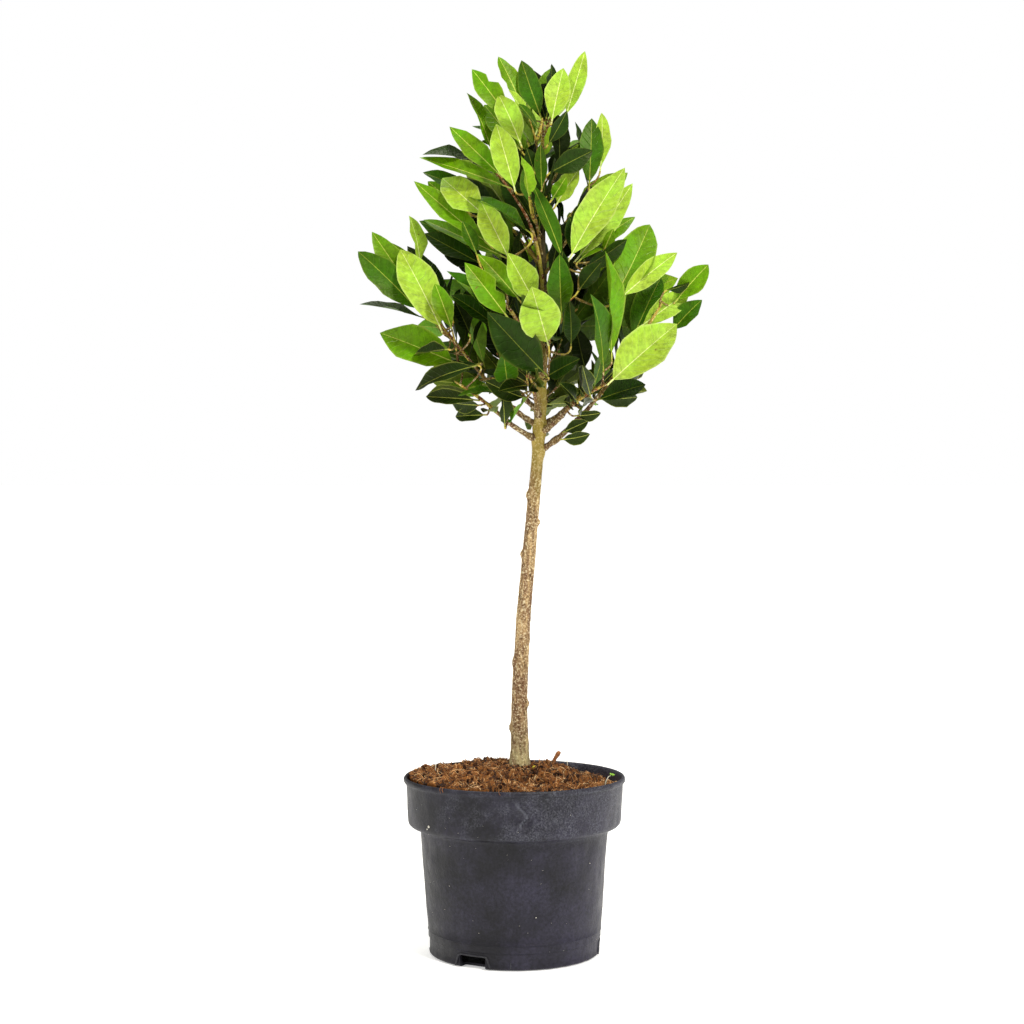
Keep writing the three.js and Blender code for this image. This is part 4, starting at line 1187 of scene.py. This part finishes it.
# Each outer leaf hangs on a thin twig that branches from the nearest wood below it.
all_shoots, all_leaves = list(FRONT_SHOOTS), list(outer_leaves)
wood = [limb_beads[limb_beads[:, 2] > 436][:, :3]]
for shoots in mass_shoots + [FRONT_SHOOTS]:
    wood += [np.array(beads_on(shoot["line"], lambda t: 1.0))[:, :3] for shoot in shoots]
outer_beads = np.array([bead for shoot in FRONT_SHOOTS for bead in beads_on(shoot["line"], lambda t: 2.2)])
wood = np.concatenate(wood)


def nearest_wood(leaf):
    """How far off each point of wood is for a leaf's twig, with more for wood above it, outside it or before it."""
    axis = trunk_at(leaf["root"][2])
    reach = math.hypot(*(leaf["root"] - axis)[:2])
    straight = np.linalg.norm(wood - leaf["root"], axis=1) + 0.1
    away = straight + 3 * np.maximum(0, wood[:, 2] - leaf["root"][2] + 2)
    away += 2 * np.maximum(0, np.hypot(wood[:, 0] - axis[0], wood[:, 1] - axis[1]) - reach - 2)
    return away + np.minimum(8, straight) * (1 + (wood - leaf["root"]) @ leaf["along"] / straight)


bare = list(outer_leaves)
while bare:
    away, leaf = min(((nearest_wood(leaf), leaf) for leaf in bare), key=lambda pair: pair[0].min())
    bare = [other for other in bare if other is not leaf]
    end = leaf["root"] + 0.6 * leaf["along"]
    if away.min() < 1.5:
        continue
    choices = []
    for start in wood[np.argsort(away)[:40:3]]:
        reach = np.linalg.norm(end - start)
        for back in (0.0, 0.3, 0.6):
            bend = end - 0.4 * reach * unit(leaf["along"] + 0.4 * UP) + [0, back * reach, 0]
            line = (start, bend, end)
            points = np.array([bezier(line, t) for t in np.linspace(0.1, 0.9, 9)])
            cost = reach * (1 + 0.3 * back) + 5 * hides(points).any(1).sum()
            choices.append((cost, len(choices), line))
    line = min(choices)[2]
    all_shoots.append({"line": line, "radius": 0.95, "leaves": 3, "rank": 3})
    beads = np.array(beads_on(line, lambda t: 0.9))
    wood = np.concatenate([wood, beads[2:, :3]])
    outer_beads = np.concatenate([outer_beads, beads])

# Where outer leaves and their twigs stand on wood. A shoot ends at the last thing that it carries.
stands = np.array([shoot["line"][0] for shoot in all_shoots] + [leaf["root"] for leaf in outer_leaves])
TICKS = np.linspace(0, 1, 101)
for index, mass in enumerate(masses):
    kept, shoots = [], mass_shoots[index]
    beads = np.array([bead for shoot in shoots for bead in beads_on(shoot["line"], lambda t: shoot["radius"])])
    for shoot in shoots:
        line = np.array([bezier(shoot["line"], t) for t in TICKS])
        carries = np.linalg.norm(line[:, None] - stands, axis=2).min(1) < 1.6
        shoot["top"] = max([0.0, *TICKS[carries]])
        found = set_leaves(shoot, mass["tier"], mass["leaf"], 40, kept, beads, index, 2.0)
        shoot["top"] = max([shoot["top"]] + [leaf_joint(leaf["share"]) for leaf in found])
    # Finer twigs branch from those shoots, lower down and inside, with smaller and older leaves.
    for number, shoot in enumerate(list(shoots)):
        draw = numbers(mass["seed"] * 31 + number)
        reach = np.linalg.norm(shoot["line"][2] - shoot["line"][0])
        for i, at in enumerate((0.1, 0.34, 0.58)):
            out = leaning(tangent(shoot["line"], at), 50 + 35 * next(draw), LEAF_TURN * i + 360 * next(draw))
            length = min(34.0, 0.5 * reach) * (0.7 + 0.5 * next(draw))
            twig = side_shoot(shoot["line"], at, out, length, 0.15, 0.85, 5, mass["seed"] * 7 + number * 5 + i, 2)
            near = np.concatenate([beads, beads_on(twig["line"], lambda t: 0.85)])
            found = set_leaves(twig, mass["tier"], 0.74 * mass["leaf"], 10, kept, near, index, 0.0)
            if found:
                beads = near
                twig["top"] = leaf_joint(found[-1]["share"])
                all_shoots.append(twig)
                shoot["top"] = max(shoot["top"], at)
    shoots[0]["top"] = max([shoots[0]["top"]] + [side["at"] for side in shoots[1:] if side["top"]])
    all_shoots += [shoot for shoot in shoots if shoot["top"]]
    all_leaves += kept

# Short shoots stand straight on the upper trunk too, in the gaps between the tiers of boughs.
for i in range(16):
    z = 474 + 11.5 * i
    draw = numbers(9000 + i)
    heading = math.radians(LEAF_TURN * i + 40)
    out = unit(np.array([math.cos(heading), math.sin(heading), 0.25 + 0.5 * next(draw)]))
    start = trunk_at(z)
    length = 30 + 16 * next(draw)
    line = (start, start + 0.5 * length * out, start + 0.85 * length * out + 0.3 * length * UP)
    twig = {"line": line, "radius": 1.0, "leaves": 6, "seed": 500 + i, "rank": 2}
    twig_beads = np.array(beads_on(line, lambda t: 1.0))
    found = set_leaves(twig, "inner", 54, 14, all_leaves, twig_beads, None, 0.0, 1)
    if found:
        twig["top"] = leaf_joint(found[-1]["share"])
        all_shoots.append(twig)

points, faces, kinds = [], [], []
buds = []
for shoot in all_shoots:
    length = np.linalg.norm(shoot["line"][2] - shoot["line"][0])
    count = 12 if shoot["rank"] < 3 else max(4, int(length / 4))
    end_radius = min(1.0 if shoot["rank"] < 4 else 1.6, 0.85 * shoot["radius"])
    joints = [leaf_joint(place / (shoot["leaves"] - 1)) for place in range(shoot["leaves"])]
    top = shoot.get("top", 1.0)
    ticks = [top * i / count for i in range(count + 1)]
    line = [(bezier if shoot["rank"] > 2 else on_shoot)(shoot["line"], t) for t in ticks]
    radii = [0.95 * shoot["radius"] + (end_radius - 0.95 * shoot["radius"]) * i / count for i in range(count + 1)]
    for i in range(1, count):
        if min(abs(ticks[i] - joint) for joint in joints) < 0.035:
            radii[i] += 0.3
    sides = 8 if shoot["rank"] < 2 else 5
    for k in range(add_tube(points, faces, line, radii, sides)):
        i = min(count - 1, k // sides)
        at_joint = min(abs(ticks[i] + 0.5 * top / count - joint) for joint in joints) < 0.03
        skin = shoot.get("skin", 1)
        kinds.append(0 if shoot["rank"] == 2 or (i < 3 and skin == 1) else (2 if at_joint and k % 3 else skin))
    if shoot["rank"] < 2:
        along = tangent(shoot["line"], top)
        buds.append((on_shoot(shoot["line"], top) - 0.5 * along, along, 5.5, 1.2))
finishes = [
    bark_finish("bay_shoot_brown", "#94762F", "#543C1A", "#8E7C2A", 0.46, 0.66),
    bark_finish("bay_shoot_green", "#D2B848", "#A88A2A", "#CDBE48", 0.3, 0.7),
    bark_finish("bay_shoot_joint", "#A8622C", "#6E3A1C", "#A87830", 0.6, 0.9),
]
twigs = mesh_piece("twigs", points, faces, finishes, kinds)
settle(twigs)

# Buds: a pointed one ends each shoot, and a small one sits over the root of many leaves.
dice = random.Random(3)
for leaf in all_leaves:
    if dice.random() < 0.55:
        along = unit(leaf["along"] + 1.3 * leaf["shoot_along"])
        root = leaf["root"] + 1.0 * leaf["along"] + 0.6 * leaf["shoot_along"]
        buds.append((root, along, dice.uniform(2.2, 3.6), 0.75))
points, faces = [], []
for root, along, length, width in buds:
    line = [root + along * length * share for share in (0, 0.3, 0.65, 1)]
    add_tube(points, faces, line, [0.6 * width, width, 0.7 * width, 0.12 * width], 5)
# Overlapping bud scales, yellow-green with reddish brown edges, a little waxy.
bud_skin = mottled_finish("bud_scales", "#B0A83E", "#8A4A26", 420.0, 2.0, 0.5, 0.4, 0.62)
bud_piece = mesh_piece("buds", points, faces, [bud_skin])
settle(bud_piece)


# ---- Leaves ----
# Bay leaves at their real size: stiff, leathery blades with a pale midrib, a glossy face that looks along the
# shoot, a paler matt back, and a wavy edge. New leaves at the shoots' ends are yellow-green, old ones dark, and
# those deep in the crown near black as painted shade.

ROWS = np.array([0.0, 0.05, 0.09, 0.14, 0.21, 0.31, 0.43, 0.55, 0.67, 0.78, 0.87, 0.94, 1.0])
COLUMNS = 4  # edge, midrib, midrib, edge


def leaf_faces():
    """The faces of one leaf, as point numbers, with 0 for its glossy face, 1 for its back and 2 for its rib."""
    rows = len(ROWS)

    def corner(row, column, is_back):
        if is_back and column in (1, 2):
            return COLUMNS * rows + 2 * row + column - 1
        return COLUMNS * row + column

    faces, kinds = [], []
    for row in range(rows - 1):
        for column in range(COLUMNS - 1):
            for is_back in (False, True):
                ring = [(row, column), (row, column + 1), (row + 1, column + 1), (row + 1, column)]
                face = [corner(*place, is_back) for place in ring]
                if row == rows - 2:
                    face = face[:2] + [corner(row + 1, 0, False)]
                faces.append(face[:1] + face[:0:-1] if is_back else face)
                kinds.append(2 if column == 1 or ROWS[row] < STALK_SHARE - 0.01 else int(is_back))
    faces.append([corner(0, 0, False), corner(0, 1, True), corner(0, 2, True), corner(0, 3, False), 2, 1])
    kinds.append(2)
    return faces, kinds


def leaf_shape(leaf, draw):
    """The points of one leaf and each point's place on the blade, as shares across and along."""
    u, length = ROWS, leaf["length"]
    half = leaf["half_width"] * 1.08
    blade = np.clip((u - STALK_SHARE) / (1 - STALK_SHARE), 0, 1)
    low_power, high_power = draw.uniform(0.8, 1.0), draw.uniform(0.84, 1.04)
    peak = low_power / (low_power + high_power)
    width = half * blade**low_power * (1 - blade) ** high_power / (peak**low_power * (1 - peak) ** high_power)
    width = np.maximum(width, np.where(u <= STALK_SHARE, 0.75, 0.7 * (1 - blade)))
    rib = np.minimum(0.46 - 0.3 * u, 0.4 * width)
    fold, twist = draw.uniform(0.1, 0.42), draw.uniform(-0.35, 0.35)
    ripple, beat = draw.uniform(0.04, 0.13) * half, draw.uniform(1.6, 3.0)
    if leaf["tier"] == "low":
        ripple, fold = 1.8 * ripple, fold + 0.12
    if leaf["tier"] == "outer":
        low_leaf = leaf["root"][2] < 530 and leaf["tint"] in ("old", "edged", "deep")
        ripple, fold, twist = (2.0 if low_leaf else 1.4) * ripple, fold + (0.3 if low_leaf else 0.1), 0.9 * twist
    phases = (draw.uniform(0, 6.28), draw.uniform(0, 6.28))
    sway, curl = draw.uniform(-0.05, 0.05) * length, draw.uniform(-0.02, 0.1) * length
    nibble = {(draw.choice((-1, 1)), draw.randrange(5, 10)): draw.uniform(0.5, 0.8)} if draw.random() < 0.09 else {}
    swell = 4 * blade * (1 - blade)
    turn = twist * u
    sag = curl * np.clip(u - 0.35, 0, 1) ** 2 * 1.6
    sheets = []
    for column, side, lift in ((0, -1, 0.0), (1, -1, 1.0), (2, 1, 1.0), (3, 1, 0.0), (1, -1, -1.0), (2, 1, -1.0)):
        is_edge = column in (0, 3)
        v = side * (width if is_edge else rib)
        if is_edge:
            for (nibbled, row), keep in nibble.items():
                if nibbled == side:
                    v[row] *= keep
        h = fold * np.abs(v) * np.minimum(1, 3 * blade)
        if is_edge:
            h = h + ripple * swell * np.sin(2 * math.pi * beat * u + phases[side > 0])
            v = v * (1 - 0.05 * swell * np.sin(2 * math.pi * beat * u + phases[side > 0] + 1.2))
        h = h + np.where(u <= STALK_SHARE, 0.55 * lift, np.where(lift < 0, -0.6 + 0.45 * u, 0.12 * lift))
        if not is_edge:
            h[-1] = 0.0
        turned_v = v * np.cos(turn) - h * np.sin(turn) + sway * blade**2
        turned_h = v * np.sin(turn) + h * np.cos(turn) - sag
        shape = blade_points(leaf, u, turned_v) + turned_h[:, None] * leaf["upper"]
        sheets.append((shape, np.stack([0.5 + (0.5 * side if is_edge else 0.03 * side) + 0 * u, u], 1)))
    for shape, _ in sheets[1:]:
        shape[-1] = sheets[0][0][-1]
    upper = np.stack([shape for shape, _ in sheets[:4]], 1).reshape(-1, 3)
    lower = np.stack([shape for shape, _ in sheets[4:]], 1).reshape(-1, 3)
    flat = [np.stack([chart for _, chart in group], 1).reshape(-1, 2) for group in (sheets[:4], sheets[4:])]
    return np.concatenate([upper, lower]), np.concatenate(flat)


def leaf_finish(name, colour, vein, rim, roughness, shine, vein_depth, rim_depth):
    """Living leaf: waxy cuticle over flesh, marked by side veins that run out from the midrib to a pale rim."""
    made, tree, shader = new_material(name)
    chart = add_node(tree, "TexCoord")
    place = chart, "Object"
    flat = add_node(tree, "SeparateXYZ", Vector=(chart, "UV"))
    out = add_node(tree, "Math", {"operation": "SUBTRACT"}, _0=(flat, 0), _1=0.5)
    away = add_node(tree, "Math", {"operation": "ABSOLUTE"}, _0=out)
    # Ten pairs of side veins, 5 to 8 mm apart, that slant towards the tip.
    slant = add_node(tree, "Math", {"operation": "MULTIPLY"}, _0=away, _1=-3.0)
    wander = add_node(tree, "TexNoise", Vector=place, Scale=60.0, Detail=2.0)
    strayed = add_node(tree, "Math", {"operation": "MULTIPLY_ADD"}, _0=wander, _1=1.6, _2=slant)
    along = add_node(tree, "Math", {"operation": "MULTIPLY_ADD"}, _0=(flat, 1), _1=11.0, _2=strayed)
    beat = add_node(tree, "Math", {"operation": "PINGPONG"}, _0=along, _1=0.5)
    line = add_node(tree, "MapRange", Value=beat, From_Min=0.0, From_Max=0.07, To_Min=1.0, To_Max=0.0)
    # The flesh is mottled at a few millimetres and clouded over centimetres.
    mottle = add_node(tree, "TexNoise", Vector=place, Scale=230.0, Detail=5.0, Roughness=0.65)
    cloud = add_node(tree, "TexNoise", Vector=place, Scale=34.0, Detail=2.0)
    blend = add_node(tree, "Math", {"operation": "MULTIPLY_ADD"}, _0=cloud, _1=0.7, _2=mottle)
    value = add_node(tree, "MapRange", Value=blend, From_Min=0.6, From_Max=1.1, To_Min=0.62, To_Max=1.36)
    hue = add_node(tree, "MapRange", Value=cloud, From_Min=0.3, From_Max=0.7, To_Min=0.485, To_Max=0.512)
    flesh = add_node(tree, "HueSaturation", Hue=hue, Value=value, Color=linear(colour))
    veined = add_node(tree, "Math", {"operation": "MULTIPLY"}, _0=line, _1=vein_depth)
    marked = add_node(tree, "Mix", {"data_type": "RGBA"}, Factor=veined, _6=flesh, _7=linear(vein))
    edge = add_node(tree, "MapRange", Value=away, From_Min=0.44, From_Max=0.5, To_Max=rim_depth)
    edged = add_node(tree, "Mix", {"data_type": "RGBA"}, Factor=edge, _6=(marked, 2), _7=linear(rim))
    # A few brown spots of 1 to 2 mm.
    blot = add_node(tree, "TexNoise", Vector=place, Scale=150.0, Detail=1.0)
    spot = add_node(tree, "MapRange", Value=blot, From_Min=0.79, From_Max=0.82, To_Max=0.8)
    spotted = add_node(tree, "Mix", {"data_type": "RGBA"}, Factor=spot, _6=(edged, 2), _7=linear("#6A4A1C"))
    gloss = add_node(
        tree, "MapRange", Value=cloud, From_Min=0.3, From_Max=0.7,
        To_Min=roughness - 0.05, To_Max=roughness + 0.1,
    )
    ridges = add_node(tree, "Bump", {"invert": True}, Strength=0.6, Distance=0.0006, Height=line)
    pores = add_node(tree, "Bump", Strength=0.5, Distance=0.0009, Height=mottle, Normal=ridges)
    set_inputs(
        tree, shader, Base_Color=(spotted, 2), Roughness=gloss, IOR=1.45, Specular_IOR_Level=shine,
        Specular_Tint=linear("#E4ECB0"), Normal=pores,
    )
    return made


TINTS = {  # for each age, and deep for a near-black painted shade: glossy face, its veins, matt back, its veins, rib, rim depth, shine
    "new": ("#9ABE36", "#C0DA70", "#AAC84E", "#C8DE84", "#DAE492", 0.35, 0.3),
    "young": ("#5E8E04", "#86B028", "#82AC1C", "#A0C244", "#BCC858", 0.35, 0.3),
    "grown": ("#366004", "#528018", "#608C18", "#7CA438", "#92A036", 0.3, 0.3),
    "old": ("#1C3606", "#304E10", "#3C5A0E", "#546F26", "#6C7828", 0.35, 0.26),
    "deep": ("#0F1B04", "#1A2A08", "#202F08", "#304210", "#444E16", 0.35, 0.12),
    "edged": ("#203208", "#3C4C18", "#4C5C16", "#66782C", "#98A044", 0.8, 0.26),
}


def age_of(leaf, draw):
    """A leaf's tint by its age and by painted shade: young ones stand at the outside and the shoots' ends, old ones
    low and inside, and the darkest deep in the crown.
    """
    middle = blade_points(leaf, 0.6, 0.0)
    axis = trunk_at(min(middle[2], TRUNK_TIP))
    outward = math.hypot(*(middle - axis)[:2])
    room = np.interp(middle[2], [440, 480, 560, 640, 720, 770], [80, 105, 140, 95, 62, 45])
    light = outward / room + 0.5 * smoothstep(middle[2], 620, 760) + 0.3 * leaf["share"]
    light += draw.gauss(0, 0.2) - (0.28 if leaf["rank"] == 2 else 0) - 0.3 * smoothstep(-middle[1], -40, 20)
    if leaf["tier"] == "low":
        return "edged" if draw.random() < 0.62 or light < 0.8 else "grown" if light < 1.3 else "young"
    # Leaves inside and those that get little light take the near-black deep tint, as painted shade.
    if leaf["tier"] == "inner" or light < 0.42:
        return "deep" if draw.random() < 0.6 else "old"
    for limit, name in ((0.68, "old"), (0.92, "grown"), (1.2, "young")):
        if light < limit:
            return name
    return "new"


LEAF_FACES, LEAF_KINDS = leaf_faces()
draw = random.Random(7)
by_tint = {tint: [] for tint in TINTS}
for leaf in all_leaves:
    by_tint[leaf.get("tint") or age_of(leaf, draw)].append(leaf)
for tint, leaves in by_tint.items():
    face_top, face_vein, back, back_vein, rib, rim_depth, shine = TINTS[tint]
    # The face has a wax that shines, the back is matt and paler, and the rib is smooth and yellow.
    finishes = [
        leaf_finish(f"bay_leaf_{tint}_face", face_top, face_vein, rib, 0.36, shine, 0.5, rim_depth),
        leaf_finish(f"bay_leaf_{tint}_back", back, back_vein, rib, 0.6, 0.25, 0.45, rim_depth),
        leaf_finish(f"bay_leaf_{tint}_rib", rib, back, rib, 0.5, 0.3, 0.0, 0.0),
    ]
    points, flats, faces, kinds = [], [], [], []
    for leaf in leaves:
        shape, flat = leaf_shape(leaf, draw)
        first = len(points) * len(shape)
        faces += [[first + corner for corner in face] for face in LEAF_FACES]
        points.append(shape)
        flats.append(flat)
        kinds += LEAF_KINDS
    piece = mesh_piece("leaves_" + tint, np.concatenate(points), faces, finishes, kinds)
    chart = piece.data.uv_layers.new(name="blade")
    corners = np.empty(len(piece.data.loops), dtype=np.int32)
    piece.data.loops.foreach_get("vertex_index", corners)
    chart.data.foreach_set("uv", np.concatenate(flats)[corners].ravel())
    select_only(piece)
    bpy.ops.object.mode_set(mode="EDIT")
    bpy.ops.mesh.select_all(action="SELECT")
    bpy.ops.mesh.remove_doubles(threshold=1e-7)
    bpy.ops.object.mode_set(mode="OBJECT")
    bpy.ops.object.shade_smooth_by_angle(angle=math.radians(75))
    settle(piece)
    if tint == "young":
        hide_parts(*["foliage_" + mass["name"] for mass in masses])
